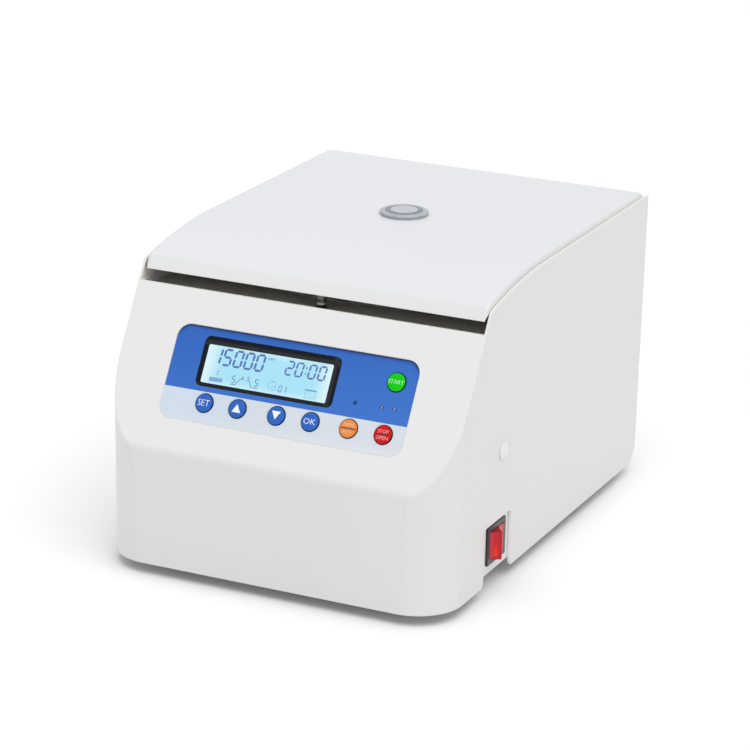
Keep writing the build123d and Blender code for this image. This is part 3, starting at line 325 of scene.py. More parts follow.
def lid_plastic():
    """The lid's cooler white, turning creamier towards its front lip, with painted shade along its rounded side edges
    and a near-black painted shadow at its front corners.
    """
    s = Shader("lid_plastic")
    y = s.dot((0, 1, 0))
    drift = s.noise(7.0, 3.0, 0.55)
    fine = s.noise(2600.0, 2.0, 0.6)
    flow = s.noise(60.0, 4.0, 0.6)
    face = s.mix(s.remap(drift, 0.3, 0.7, 0.0, 1.0), (0.738, 0.751, 0.776, 1), (0.730, 0.742, 0.766, 1))
    x = s.math("ABSOLUTE", s.dot((1, 0, 0)))
    z = s.dot((0, 0, 1))
    lip = s.remap(y, -0.106, -0.1135, 0.0, 1.0, True)
    # painted shade along the lid's rounded side edges
    edge = s.remap(x, 0.1255, 0.1280, 0.0, 1.0, True)
    # near-black painted shadow at the lid's front corners, between the lid and the walls
    wedge = s.math("ADD", x, s.remap(z, 0.1983, 0.2035, 0.0018, 0.0004, True))
    end = s.math("MULTIPLY", s.remap(wedge, 0.12835, 0.12865, 0.0, 1.0), s.math("MULTIPLY", s.remap(y, -0.1085, -0.1095, 0.0, 1.0, True), s.remap(z, 0.2075, 0.2050, 0.0, 1.0, True)))
    face = s.mix(edge, face, (0.668, 0.668, 0.650, 1))
    base = s.mix(lip, face, (0.745, 0.745, 0.734, 1))
    s.set(
        Base_Color=s.mix(end, base, (0.022, 0.022, 0.019, 1)),
        Roughness=s.remap(s.math("ADD", s.math("MULTIPLY", fine, 0.5), s.math("MULTIPLY", flow, 0.5)), 0.3, 0.7, 0.3, 0.4),
    )
    s.bump((flow, 0.2, 0.0001), (fine, 0.5, 0.00002), soften=0.0005)
    return s.mat


M["lid"] = lid_plastic()
M["tray"] = powder("tray_paint", (0.745, 0.742, 0.742, 1), (0.72, 0.72, 0.715, 1), soften=0.0003)
M["panel"] = powder("panel_paint", (0.70, 0.70, 0.695, 1), (0.67, 0.67, 0.66, 1), soften=0.0003)
M["deck"] = moulded("deck_plastic", (0.60, 0.58, 0.525, 1), (0.56, 0.54, 0.485, 1), rough=(0.42, 0.55), grain=0.9)
M["bowl"] = brushed("stainless", (0.66, 0.66, 0.665, 1), (0.52, 0.52, 0.525, 1), about=(0, SPIN_Y, 0), rough=(0.2, 0.34))
M["steel"] = brushed("zinc_steel", (0.56, 0.56, 0.55, 1), (0.42, 0.42, 0.40, 1), rough=(0.3, 0.45), soften=0.0002)
M["alloy_turned"] = brushed("turned_alloy", (0.79, 0.80, 0.815, 1), (0.68, 0.69, 0.705, 1), about=(0, SPIN_Y, 0), rough=(0.22, 0.34), soften=0.0002)
M["alloy_fins"] = brushed("extruded_alloy", (0.72, 0.73, 0.74, 1), (0.6, 0.61, 0.62, 1), along=(30.0, 30.0, 1.0), rough=(0.3, 0.42))
M["liner"] = powder("liner_paint", (0.60, 0.605, 0.61, 1), (0.57, 0.575, 0.58, 1))
M["rubber"] = rubber("rubber_black", (0.022, 0.022, 0.022, 1), (0.045, 0.044, 0.042, 1))
M["silicone"] = rubber("rubber_red", (0.36, 0.035, 0.03, 1), (0.44, 0.06, 0.05, 1))
M["screw"] = brushed("screw_steel", (0.75, 0.75, 0.745, 1), (0.6, 0.6, 0.59, 1), rough=(0.16, 0.28), along=(12.0, 12.0, 12.0), soften=0.0002)
M["motor"] = powder("motor_paint", (0.03, 0.03, 0.032, 1), (0.05, 0.05, 0.05, 1))
M["black"] = glossy("black_plastic", (0.016, 0.016, 0.017, 1), (0.022, 0.022, 0.022, 1), rough=(0.22, 0.34), coat=0.1)
M["black_satin"] = moulded("black_satin", (0.030, 0.030, 0.030, 1), (0.038, 0.038, 0.037, 1), rough=(0.4, 0.52), grain=0.8)
M["cap_white"] = moulded("cap_white", (0.775, 0.770, 0.766, 1), (0.765, 0.760, 0.754, 1), rough=(0.3, 0.4), soften=0.0003)


def striker_metal():
    """The lid's catch pin: nickel, with a painted highlight on a ring near its end, and dark below it."""
    s = Shader("striker_nickel")
    z = s.dot((0, 0, 1))
    lines = s.noise(1.0, 4.0, 0.7, vec=s.stretched(s.coord, (300.0, 300.0, 3000.0)))
    smear = s.noise(700.0, 3.0, 0.6, distortion=0.8)
    # painted highlight: a bright ring near the pin's end
    ring = s.math("MULTIPLY", s.remap(z, 0.1868, 0.1874, 0.0, 1.0, True), s.remap(z, 0.1884, 0.1890, 1.0, 0.0, True))
    low = s.remap(z, 0.1872, 0.1867, 0.0, 1.0, True)
    eye = s.math("MULTIPLY", s.remap(z, 0.1888, 0.1893, 0.0, 1.0, True), s.remap(z, 0.1904, 0.1912, 1.0, 0.0, True))
    base = s.mix(s.remap(lines, 0.3, 0.7, 0.0, 1.0), (0.36, 0.355, 0.33, 1), (0.50, 0.49, 0.46, 1))
    base = s.mix(s.math("MULTIPLY", eye, s.remap(smear, 0.35, 0.6, 0.4, 1.0)), base, (0.12, 0.12, 0.115, 1))
    base = s.mix(ring, base, (0.95, 0.95, 0.93, 1))
    base = s.mix(low, base, (0.035, 0.034, 0.036, 1))
    s.set(Metallic=1.0, Base_Color=base, Roughness=s.remap(smear, 0.3, 0.7, 0.34, 0.5))
    s.bump((lines, 0.3, 0.00002), soften=0.0003)
    return s.mat


M["striker"] = striker_metal()


def key_cap(name, colour, deeper):
    """A keypad cap: a smooth satin face, with painted shade down its side, into the gap round it."""
    s = Shader(name)
    out = s.dot(tuple(FN), tuple(EDGE))
    # painted shade down the cap's side, into the gap round it
    side = s.remap(out, 0.00005, 0.00062, 1.0, 0.0, True)
    ripple = s.noise(240.0, 2.0, 0.5)
    marks = s.noise(900.0, 3.0, 0.7)
    face = s.mix(s.remap(ripple, 0.35, 0.7, 0.0, 1.0), colour, deeper)
    dark = tuple(c * 0.12 for c in deeper[:3]) + (1.0,)
    s.set(
        Base_Color=s.mix(side, face, dark),
        Roughness=s.remap(marks, 0.35, 0.75, 0.24, 0.34),
        Specular_IOR_Level=0.16,
    )
    s.bump((ripple, 0.12, 0.00004), (marks, 0.1, 0.00001), soften=0.0002)
    return s.mat


M["button_green"] = key_cap("button_green", srgb(8, 205, 8), srgb(4, 192, 4))
M["button_blue"] = key_cap("button_blue", srgb(50, 102, 190), srgb(44, 96, 184))
M["button_orange"] = key_cap("button_orange", srgb(232, 140, 72), srgb(226, 132, 64))
M["button_red"] = key_cap("button_red", srgb(204, 16, 20), srgb(194, 8, 14))


def lamp_lens():
    """Three small lamp lenses, all unlit: the first is dark, the other two have a paler core, a painted highlight."""
    s = Shader("lamp_lens")
    x = s.dot(tuple(FX))
    cell = s.noise(1500.0, 2.0, 0.5)
    # painted highlight: a paler core in the second and third lenses
    second = s.remap(s.math("ABSOLUTE", s.math("SUBTRACT", x, 0.0698)), 0.0003, 0.0009, 0.8, 0.0, True)
    third = s.remap(s.math("ABSOLUTE", s.math("SUBTRACT", x, 0.0790)), 0.0003, 0.0009, 0.8, 0.0, True)
    dark = s.mix(s.remap(cell, 0.3, 0.7, 0.0, 1.0), (0.028, 0.058, 0.13, 1), (0.018, 0.045, 0.11, 1))
    lit = s.mix(second, dark, (0.26, 0.36, 0.56, 1))
    s.set(Base_Color=s.mix(third, lit, (0.33, 0.33, 0.50, 1)), Roughness=s.remap(cell, 0.3, 0.7, 0.12, 0.2), Specular_IOR_Level=0.35)
    s.bump((cell, 0.1, 0.00001))
    return s.mat


M["lamp"] = lamp_lens()


def screen_bezel():
    """The display's dark surround: near black, with painted light on the bevel towards the glass, above and to the
    right.
    """
    s = Shader("screen_bezel")
    x = s.dot(tuple(FX), tuple(EDGE))
    down = s.dot(tuple(-FU), tuple(EDGE))
    fine = s.noise(2600.0, 2.0, 0.6)
    above = s.remap(down, 0.0334, 0.0345, 1.0, 0.0, True)
    right = s.remap(x, 0.0306, 0.0320, 0.0, 1.0, True)
    # a lighter lower bar, and painted light on the bevel towards the glass above and to the right
    low = s.remap(down, 0.0632, 0.0640, 0.0, 0.35, True)
    bevel = s.math("MAXIMUM", s.math("MULTIPLY", s.remap(down, 0.0334, 0.0345, 0.0, 1.0, True), s.remap(down, 0.0372, 0.0378, 1.0, 0.0)), s.math("MULTIPLY", s.remap(x, 0.0284, 0.0286, 0.0, 1.0), s.remap(x, 0.0310, 0.0322, 1.0, 0.0, True)))
    fac = s.math("MAXIMUM", bevel, low)
    s.set(
        Base_Color=s.mix(fac, (0.004, 0.006, 0.011, 1), (0.020, 0.024, 0.027, 1)),
        Roughness=s.remap(fine, 0.3, 0.7, 0.34, 0.46),
        Specular_IOR_Level=0.14,
    )
    s.bump((fine, 0.4, 0.00002), soften=0.0002)
    return s.mat


M["screen_bezel"] = screen_bezel()
# near-black plastic for the rings that stand in for the shade in the caps' gaps
M["gap"] = moulded("painted_gap_shade", (0.004, 0.005, 0.008, 1), (0.003, 0.004, 0.006, 1), rough=(0.5, 0.6), spec=0.05)
M["brass"] = brushed("contact_plating", (0.72, 0.68, 0.55, 1), (0.6, 0.56, 0.44, 1), rough=(0.2, 0.32), along=(1.0, 20.0, 20.0))


def print_ink(name, colour, rough=0.42):
    """Screen-printed ink: a little thin in places, with a slight tooth."""
    s = Shader(name)
    tooth = s.noise(5200.0, 2.0, 0.6)
    thin = s.noise(900.0, 2.0, 0.5)
    lower = tuple(c * 0.94 for c in colour[:3]) + (1.0,)
    s.set(Base_Color=s.mix(s.remap(thin, 0.4, 0.75, 0.0, 1.0), colour, lower), Roughness=s.remap(tooth, 0.3, 0.7, rough - 0.06, rough + 0.06))
    s.bump((tooth, 0.3, 0.000008))
    return s.mat


M["ink_white"] = print_ink("ink_white", (0.86, 0.88, 0.92, 1))
M["ink_mint"] = print_ink("ink_mint", (0.62, 0.87, 0.60, 1))
M["ink_cream"] = print_ink("ink_cream", (0.90, 0.62, 0.42, 1))
M["ink_blush"] = print_ink("ink_blush", (0.84, 0.50, 0.50, 1))
M["ink_dark"] = print_ink("ink_dark", (0.060, 0.020, 0.012, 1))
M["ink_grey"] = print_ink("ink_grey", (0.32, 0.32, 0.33, 1))


def label_film():
    """The keypad film: blue above, pale below, split on a straight line across the slope, with a dark painted shadow
    under its upper edge that fades down the corners, painted light along the edges of its pale part, and a fine velvet
    texture."""
    s = Shader("label_print")
    x = s.dot(tuple(FX), tuple(EDGE))
    down = s.dot(tuple(-FU), tuple(EDGE))
    split = s.remap(down, 0.06960, 0.06976, 0.0, 1.0)
    velvet = s.noise(3400.0, 2.0, 0.6)
    drift = s.noise(16.0, 3.0, 0.5)
    # depth inside the film's rounded outline
    qx = s.math("SUBTRACT", s.math("ABSOLUTE", x), 0.09045 - 0.0096)
    qy = s.math("SUBTRACT", s.math("ABSOLUTE", s.math("SUBTRACT", down, 0.05825)), 0.03305 - 0.0096)
    px, py = s.math("MAXIMUM", qx, 0.0), s.math("MAXIMUM", qy, 0.0)
    length = s.math("SQRT", s.math("ADD", s.math("MULTIPLY", px, px), s.math("MULTIPLY", py, py)))
    inside = s.math("MINIMUM", s.math("MAXIMUM", qx, qy), 0.0)
    depth = s.math("SUBTRACT", 0.0096, s.math("ADD", length, inside))
    # painted shadow under the film's upper edge, fading down the corners
    fade = s.math("POWER", 2.718, s.math("DIVIDE", s.math("SUBTRACT", 0.0006, depth), 0.00105), True)
    key = s.math("MULTIPLY", fade, s.remap(down, 0.0285, 0.0350, 0.86, 0.0, True))
    low = s.remap(s.math("ADD", s.math("MULTIPLY", x, 0.16), down), 0.026, 0.080, 0.0, 1.0)
    blue = s.mix(low, (0.024, 0.123, 0.486, 1), (0.043, 0.170, 0.580, 1))
    blue = s.mix(s.remap(drift, 0.3, 0.7, 0.0, 0.35), blue, (0.034, 0.142, 0.510, 1))
    blue = s.mix(key, blue, (0.006, 0.017, 0.085, 1))
    pale = s.mix(s.remap(x, -0.088, 0.030, 0.0, 1.0, True), (0.585, 0.668, 0.775, 1), (0.640, 0.682, 0.735, 1))
    pale = s.mix(s.math("MULTIPLY", s.remap(down, 0.0845, 0.0912, 0.0, 0.6, True), s.remap(x, -0.02, 0.06, 0.35, 1.0, True)), pale, (0.735, 0.745, 0.760, 1))
    pale = s.mix(s.remap(drift, 0.3, 0.7, 0.0, 0.3), pale, (0.660, 0.720, 0.780, 1))
    # painted light along the pale part's edges, against the recess's shade
    pale = s.mix(s.remap(depth, 0.00005, 0.00035, 0.8, 0.0, True), pale, (0.90, 0.90, 0.90, 1))
    s.set(Base_Color=s.mix(split, blue, pale), Roughness=s.remap(velvet, 0.3, 0.7, 0.46, 0.56), Specular_IOR_Level=0.25)
    s.bump((velvet, 0.35, 0.000012))
    return s.mat


M["label"] = label_film()


def lit_lcd():
    """The lit display: light cyan, paler towards its edges where the backlight leaks."""
    s = Shader("lcd_glass")
    x = s.dot(tuple(FX), tuple(EDGE))
    down = s.dot(tuple(-FU), tuple(EDGE))
    side = s.math("ABSOLUTE", s.math("ADD", x, 0.01795))
    tall = s.math("ABSOLUTE", s.math("SUBTRACT", down, 0.0500))
    glow = s.math("MAXIMUM", s.remap(side, 0.0335, 0.0475, 0.0, 1.0, True), s.remap(tall, 0.0085, 0.0140, 0.0, 0.55, True))
    left = s.remap(x, -0.064, -0.050, 0.5, 0.0, True)
    cloud = s.noise(70.0, 2.0, 0.5)
    fac = s.math("ADD", s.math("MAXIMUM", glow, left), s.remap(cloud, 0.3, 0.7, -0.06, 0.06), True)
    tint = s.mix(fac, srgb(170, 232, 253), srgb(226, 250, 255))
    s.set(Base_Color=s.mix(fac, (0.02, 0.03, 0.035, 1), (0.03, 0.04, 0.045, 1)), Roughness=s.remap(cloud, 0.3, 0.7, 0.12, 0.18), Emission_Color=tint, Emission_Strength=0.93)
    s.bump((cloud, 0.05, 0.00001))
    return s.mat


M["lcd"] = lit_lcd()


def lcd_ink(name, colour):
    """A driven display segment: it darkens the backlight behind it."""
    s = Shader(name)
    grain = s.noise(2500.0, 2.0, 0.5)
    lower = tuple(c * 0.9 for c in colour[:3]) + (1.0,)
    s.set(Base_Color=(0.02, 0.03, 0.05, 1), Roughness=0.3, Emission_Color=s.mix(s.remap(grain, 0.35, 0.65, 0.0, 1.0), colour, lower), Emission_Strength=0.93)
    return s.mat


M["seg"] = lcd_ink("lcd_segment", srgb(58, 100, 182))
M["seg_mid"] = lcd_ink("lcd_segment_mid", srgb(66, 116, 180))
M["seg_soft"] = lcd_ink("lcd_segment_soft", srgb(120, 178, 212))
M["seg_block"] = lcd_ink("lcd_segment_block", srgb(112, 168, 226))


def clear(name, colour, rough, ior, tint_mix, bump=0.05):
    s = Shader(name)
    wave = s.noise(150.0, 2.0, 0.5)
    haze = s.noise(900.0, 3.0, 0.6)
    s.set(
        Base_Color=s.mix(s.remap(haze, 0.3, 0.7, 0.0, 1.0), colour, tint_mix),
        Roughness=s.remap(haze, 0.3, 0.7, rough * 0.6, rough * 1.4),
        Transmission_Weight=1.0,
        IOR=ior,
    )
    s.bump((wave, bump, 0.00005))
    return s.mat


M["lens"] = clear("display_window", (0.97, 0.985, 0.99, 1), 0.02, 1.46, (0.95, 0.975, 0.985, 1), bump=0.02)


def sight_glass():
    """The lid's small window: a frosted flange with turned rings and painted shade at its outer edge, and a clear boss
    whose bright top is ringed by its blue-grey wall, with painted shade under the top's edge and at the wall's foot.
    Everything is laid out round the window's own axis."""
    s = Shader("sight_window")
    r = s.radius((0, SPIN_Y, 0))
    haze = s.noise(420.0, 3.0, 0.6)
    cloud = s.noise(150.0, 2.0, 0.5, distortion=0.5)
    boss = s.remap(r, 0.01325, 0.01375, 1.0, 0.0, True)
    top = s.remap(r, 0.00965, 0.01005, 1.0, 0.0, True)
    # painted shade just under the boss's top edge and at its foot
    under_top = s.math("MULTIPLY", s.remap(r, 0.00985, 0.01025, 0.0, 1.0, True), s.remap(r, 0.01050, 0.01120, 1.0, 0.0, True))
    foot = s.math("MULTIPLY", s.remap(r, 0.01240, 0.01310, 0.0, 1.0, True), s.remap(r, 0.01345, 0.01400, 1.0, 0.0, True))
    rings = s.remap(s.math("SINE", s.math("MULTIPLY", r, 3600.0)), 0.2, 1.0, 0.0, 0.5)
    # painted shade at the flange's outer edge
    rim = s.remap(r, 0.01700, 0.01745, 0.0, 0.4, True)
    flange = s.mix(s.remap(cloud, 0.3, 0.7, 0.0, 1.0), (0.50, 0.52, 0.555, 1), (0.60, 0.62, 0.67, 1))
    flange = s.mix(rings, flange, (0.24, 0.26, 0.29, 1))
    flange = s.mix(rim, flange, (0.20, 0.21, 0.25, 1))
    deep = s.mix(s.remap(cloud, 0.35, 0.65, 0.0, 1.0), (0.18, 0.25, 0.33, 1), (0.28, 0.33, 0.41, 1))
    deep = s.mix(s.math("MULTIPLY", under_top, 0.7), deep, (0.08, 0.11, 0.15, 1))
    deep = s.mix(s.math("MULTIPLY", foot, 0.6), deep, (0.09, 0.10, 0.13, 1))
    base = s.mix(boss, flange, deep)
    face = s.mix(s.remap(cloud, 0.3, 0.7, 0.0, 1.0), (0.60, 0.615, 0.645, 1), (0.65, 0.67, 0.72, 1))
    base = s.mix(top, base, face)
    s.set(
        Base_Color=base,
        Roughness=s.remap(haze, 0.3, 0.7, 0.14, 0.24),
        Transmission_Weight=0.2,
        IOR=1.49,
        Specular_IOR_Level=0.4,
    )
    s.bump((cloud, 0.1, 0.00005), soften=0.0003)
    return s.mat


M["sight"] = sight_glass()
M["fuse_glass"] = clear("fuse_glass", (0.95, 0.97, 0.96, 1), 0.03, 1.5, (0.93, 0.95, 0.94, 1))


def circuit_board():
    s = Shader("board_green")
    x = s.stretched(s.coord, (1.0, 1.0, 1.0))
    v = s.add("ShaderNodeTexBrick")
    s.link(x, v.inputs["Vector"])
    v.inputs["Scale"].default_value = 160.0
    v.inputs["Mortar Size"].default_value = 0.035
    v.inputs["Color1"].default_value = (0.012, 0.085, 0.035, 1)
    v.inputs["Color2"].default_value = (0.016, 0.105, 0.042, 1)
    v.inputs["Mortar"].default_value = (0.03, 0.16, 0.06, 1)
    pads = s.remap(s.voronoi(420.0), 0.0, 0.1, 1.0, 0.0)
    s.set(Base_Color=s.mix(pads, v.outputs["Color"], (0.5, 0.47, 0.38, 1)), Roughness=s.remap(s.noise(500.0), 0.3, 0.7, 0.26, 0.38))
    s.bump((v.outputs["Fac"], 0.2, 0.00003))
    return s.mat


M["board"] = circuit_board()


def laminations():
    s = Shader("laminated_steel")
    n = s.add("ShaderNodeTexWave", wave_type="BANDS", bands_direction="Y")
    s.link(s.coord, n.inputs["Vector"])
    n.inputs["Scale"].default_value = 320.0
    n.inputs["Distortion"].default_value = 0.4
    rust = s.noise(60.0, 4.0, 0.7)
    s.set(Metallic=0.7, Base_Color=s.mix(s.remap(rust, 0.45, 0.7, 0.0, 1.0), (0.13, 0.12, 0.115, 1), (0.2, 0.15, 0.11, 1)), Roughness=s.remap(rust, 0.3, 0.7, 0.4, 0.6))
    s.bump((n.outputs["Fac"], 0.6, 0.0001))
    return s.mat


M["laminated"] = laminations()


def red_rocker():
    """Translucent red rocker: a rosy left edge, an orange-red glow low in the middle where the lamp sits, crimson on
    the right, with painted shade along its bottom edge, on its top face and at its far end."""
    s = Shader("rocker_red")
    z = s.dot((0, 0, 1), (0, 0, 0.0345))
    x = s.dot((1, 0, 0), (0.1254, 0, 0))
    cell = s.noise(330.0, 2.0, 0.5, vec=s.stretched(s.coord, (1.0, 1.0, 0.25)))
    # the raised end wall runs from x 4 mm at the bezel to x 10.9 mm at its tip
    across = s.remap(x, 0.0035, 0.0106, 0.0, 1.0)
    base = s.mix(s.remap(across, 0.0, 0.4, 0.0, 1.0, True), srgb(212, 62, 76), srgb(206, 26, 34))
    base = s.mix(s.remap(across, 0.5, 0.95, 0.0, 1.0, True), base, srgb(178, 22, 44))
    low = s.math("MULTIPLY", s.remap(z, -0.0092, -0.0060, 0.0, 1.0, True), s.remap(z, -0.0045, 0.0035, 1.0, 0.0, True))
    mid = s.math("MULTIPLY", s.remap(across, 0.1, 0.4, 0.0, 1.0, True), s.remap(across, 0.55, 0.8, 1.0, 0.0, True))
    glow = s.math("MULTIPLY", s.math("MULTIPLY", low, mid), s.remap(cell, 0.3, 0.6, 0.75, 1.0))
    base = s.mix(glow, base, srgb(226, 42, 14))
    y = s.dot((0, 1, 0))
    # painted shade along the rocker's bottom edge
    base = s.mix(s.remap(z, -0.0097, -0.0089, 0.8, 0.0, True), base, srgb(104, 12, 24))
    # painted shade on the rocker's top face
    top = s.remap(z, 0.00925, 0.00965, 0.0, 1.0)
    base = s.mix(s.math("MULTIPLY", top, 0.7), base, srgb(120, 6, 18))
    # near-black painted shade at the rocker's far end
    base = s.mix(s.remap(y, -0.0768, -0.0762, 0.0, 0.92), base, (0.045, 0.045, 0.05, 1))
    s.set(
        Base_Color=base,
        Roughness=s.remap(cell, 0.3, 0.7, 0.16, 0.24),
        Subsurface_Weight=0.15,
        Subsurface_Radius=(0.003, 0.0004, 0.0004),
        Subsurface_Scale=1.0,
        Specular_IOR_Level=0.22,
        Coat_Weight=0.2,
        Coat_Roughness=0.08,
        Emission_Color=s.mix(glow, (0.20, 0.002, 0.006, 1), (0.62, 0.03, 0.0, 1)),
        Emission_Strength=s.remap(glow, 0.0, 1.0, 0.06, 0.2),
    )
    s.bump((cell, 0.15, 0.00006), soften=0.0003)
    return s.mat


M["rocker"] = red_rocker()


def switch_frame():
    """Satin black switch bezel: painted light greys the flat face, the edge stays black."""
    s = Shader("switch_black")
    x = s.dot((1, 0, 0))
    fine = s.noise(2400.0, 2.0, 0.6)
    # painted light greys the bezel's flat face
    face = s.remap(x, 0.12860, 0.12905, 0.0, 1.0)
    s.set(
        Base_Color=s.mix(face, (0.012, 0.013, 0.014, 1), (0.050, 0.050, 0.055, 1)),
        Roughness=s.remap(fine, 0.3, 0.7, 0.3, 0.42),
    )
    s.bump((fine, 0.4, 0.00002), soften=0.0002)
    return s.mat


M["switch"] = switch_frame()

looks = {
    "housing": ["housing_shell"],
    "lid": ["lid_cover"],
    "tray": ["chassis_tray"],
    "panel": ["rear_panel"],
    "deck": ["deck_plate"],
    "bowl": ["chamber_bowl"],
    "steel": ["motor_plate", "standoffs", "latch_frame", "latch_bolt", "hinge_brackets", "hinge_arms", "motor_shaft"],
    "alloy_turned": ["rotor_disc", "rotor_cover"],
    "alloy_fins": ["heatsink"],
    "liner": ["lid_liner"],
    "rubber": ["bowl_gasket", "motor_dampers", "shaft_boot", "feet"],
    "silicone": ["rim_gasket"],
    "screw": ["panel_screws", "foot_screws", "side_screws", "lid_screws", "hinge_pins", "solenoid_plunger"],
    "striker": ["striker"],
    "motor": ["motor_housing"],
    "black": ["inlet_socket", "fuse_drawer"],
    "screen_bezel": ["display_frame"],
    "switch": ["switch_housing"],
    "black_satin": ["tact_switches", "board_capacitors", "latch_solenoid", "lid_sensor", "window_nut", "cover_knob"],
    "cap_white": ["side_caps"],
    "label": ["control_label"],
    "lcd": ["lcd_module"],
    "lens": ["display_lens"],
    "sight": ["sight_window"],
    "fuse_glass": ["fuses"],
    "board": ["control_board", "driver_board"],
    "laminated": ["transformer"],
    "brass": ["inlet_pins", "switch_terminals"],
    "lamp": ["indicator_leds"],
    "rocker": ["rocker"],
    "button_green": ["start_button"],
    "button_blue": ["set_button", "up_button", "down_button", "ok_button"],
    "button_orange": ["mode_button"],
    "button_red": ["stop_button"],
}
for key, members in looks.items():
    for name in members:
        me = nodes[name].data
        me.materials.clear()
        me.materials.append(M[key])
dressed = {n for members in looks.values() for n in members}
assert dressed == set(nodes), dressed ^ set(nodes)


# ---------------------------------------------------------------- mesh helpers
def piece(name, verts, faces, material, body, matrix=None, smooth=False, face_mats=None):
    me = bpy.data.meshes.new(name)
    if matrix is not None:
        verts = [matrix @ Vector(v) for v in verts]
    me.from_pydata([tuple(v) for v in verts], [], faces)
    mats = material if isinstance(material, list) else [material]
    for m in mats:
        me.materials.append(m)
    if face_mats:
        me.polygons.foreach_set("material_index", face_mats)
    if smooth:
        me.polygons.foreach_set("use_smooth", [True] * len(me.polygons))
    me.validate()
    me.update()
    o = bpy.data.objects.new(name, me)
    bpy.context.scene.collection.objects.link(o)
    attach(o, body)
    return o


def prism(poly, low, high):
    """A closed prism on a simple polygon, counter-clockwise in x, y."""
    n = len(poly)
    verts = [(x, y, low) for x, y in poly] + [(x, y, high) for x, y in poly]
    faces = [tuple(range(n - 1, -1, -1)), tuple(range(n, 2 * n))]
    faces += [(i, (i + 1) % n, n + (i + 1) % n, n + i) for i in range(n)]
    return verts, faces


class Batch:
    """Several small prisms in one mesh, each with its own material index."""

    def __init__(self):
        self.v, self.f, self.m = [], [], []

    def add(self, poly, low, high, index=0):
        area = sum(a[0] * b[1] - b[0] * a[1] for a, b in zip(poly, poly[1:] + poly[:1]))
        if area < 0:
            poly = poly[::-1]
        v, f = prism(poly, low, high)
        k = len(self.v)
        self.v += v
        self.f += [tuple(i + k for i in face) for face in f]
        self.m += [index] * len(f)


def text_shape(words, width=None, height=None, bold=0.0, squeeze=1.0):
    """A text's flat mesh, centred on its own middle, in the units of width or height."""
    cu = bpy.data.curves.new("words", "FONT")
    cu.body = words
    cu.size = 1.0
    cu.resolution_u = 3
    cu.offset = bold
    ob = bpy.data.objects.new("words", cu)
    bpy.context.scene.collection.objects.link(ob)
    dg = bpy.context.evaluated_depsgraph_get()
    me = bpy.data.meshes.new_from_object(ob.evaluated_get(dg))
    v = np.array([p.co[:2] for p in me.vertices], float).reshape(-1, 2)
    f = [tuple(p.vertices) for p in me.polygons]
    bpy.data.objects.remove(ob)
    bpy.data.curves.remove(cu)
    bpy.data.meshes.remove(me)
    v[:, 0] *= squeeze
    lo, hi = v.min(0), v.max(0)
    v -= (lo + hi) / 2
    k = width / (hi[0] - lo[0]) if width else height / (hi[1] - lo[1])
    return v * k, f


# ---------------------------------------------------------------- button legends, wrapped on the domed caps
DOME_LOW, DOME_HIGH, DOME_A = 0.75, 1.3, 5.6
DOME_R = (DOME_A**2 + (DOME_HIGH - DOME_LOW) ** 2) / (2 * (DOME_HIGH - DOME_LOW))


def on_dome(x, y):
    r2 = min(x * x + y * y, 5.6**2)
    return DOME_HIGH - (DOME_R - math.sqrt(DOME_R**2 - r2))


def wrapped(name, v2, faces, centre, body, material, lift=0.012, thick=0.05):
    """A flat outline, in millimetres about the cap's middle, laid on the cap's dome as a thin layer of ink."""
    bm = bmesh.new()
    vs = [bm.verts.new((x, y, 0)) for x, y in v2]
    for f in faces:
        try:
            bm.faces.new([vs[i] for i in f])
        except ValueError:
            pass
    bmesh.ops.remove_doubles(bm, verts=bm.verts, dist=1e-4)
    bmesh.ops.triangulate(bm, faces=bm.faces)
    for _ in range(4):
        long = [e for e in bm.edges if e.calc_length() > 0.9]
        if not long:
            break
        bmesh.ops.subdivide_edges(bm, edges=long, cuts=1)
        bmesh.ops.triangulate(bm, faces=bm.faces)
    bmesh.ops.recalc_face_normals(bm, faces=bm.faces)
    if sum(f.normal.z * f.calc_area() for f in bm.faces) < 0:
        bmesh.ops.reverse_faces(bm, faces=bm.faces)
    bm.verts.index_update()
    base = [(v.co.x, v.co.y) for v in bm.verts]
    n = len(base)
    top = [(x, y, on_dome(x, y) + lift + thick) for x, y in base]
    low = [(x, y, on_dome(x, y) - 0.03) for x, y in base]
    faces_out = [tuple(v.index for v in f.verts) for f in bm.faces]
    under = [tuple(n + i for i in reversed(f)) for f in faces_out]
    rim = [
        (e.verts[0].index, e.verts[1].index)
        for e in bm.edges
        if len(e.link_faces) == 1
    ]
    directed = set()
    for f in bm.faces:
        ring = [v.index for v in f.verts]
        directed |= set(zip(ring, ring[1:] + ring[:1]))
    walls = []
    for a, b in rim:
        if (a, b) not in directed:
            a, b = b, a
        walls.append((b, a, n + a, n + b))
    bm.free()
    x0, s0 = centre
    verts = [((x + x0) * MM, (y - s0) * MM, z * MM) for x, y, z in top + low]
    return piece(name, verts, faces_out + under + walls, material, body, FACE, smooth=False)


def triangle(w, h, up=True):
    k = 1 if up else -1
    return [(-w / 2, -k * h / 2), (w / 2, -k * h / 2), (0, k * h / 2)], [(0, 1, 2)]


def lift_text(v, dy):
    v = v.copy()
    v[:, 1] += dy
    return v


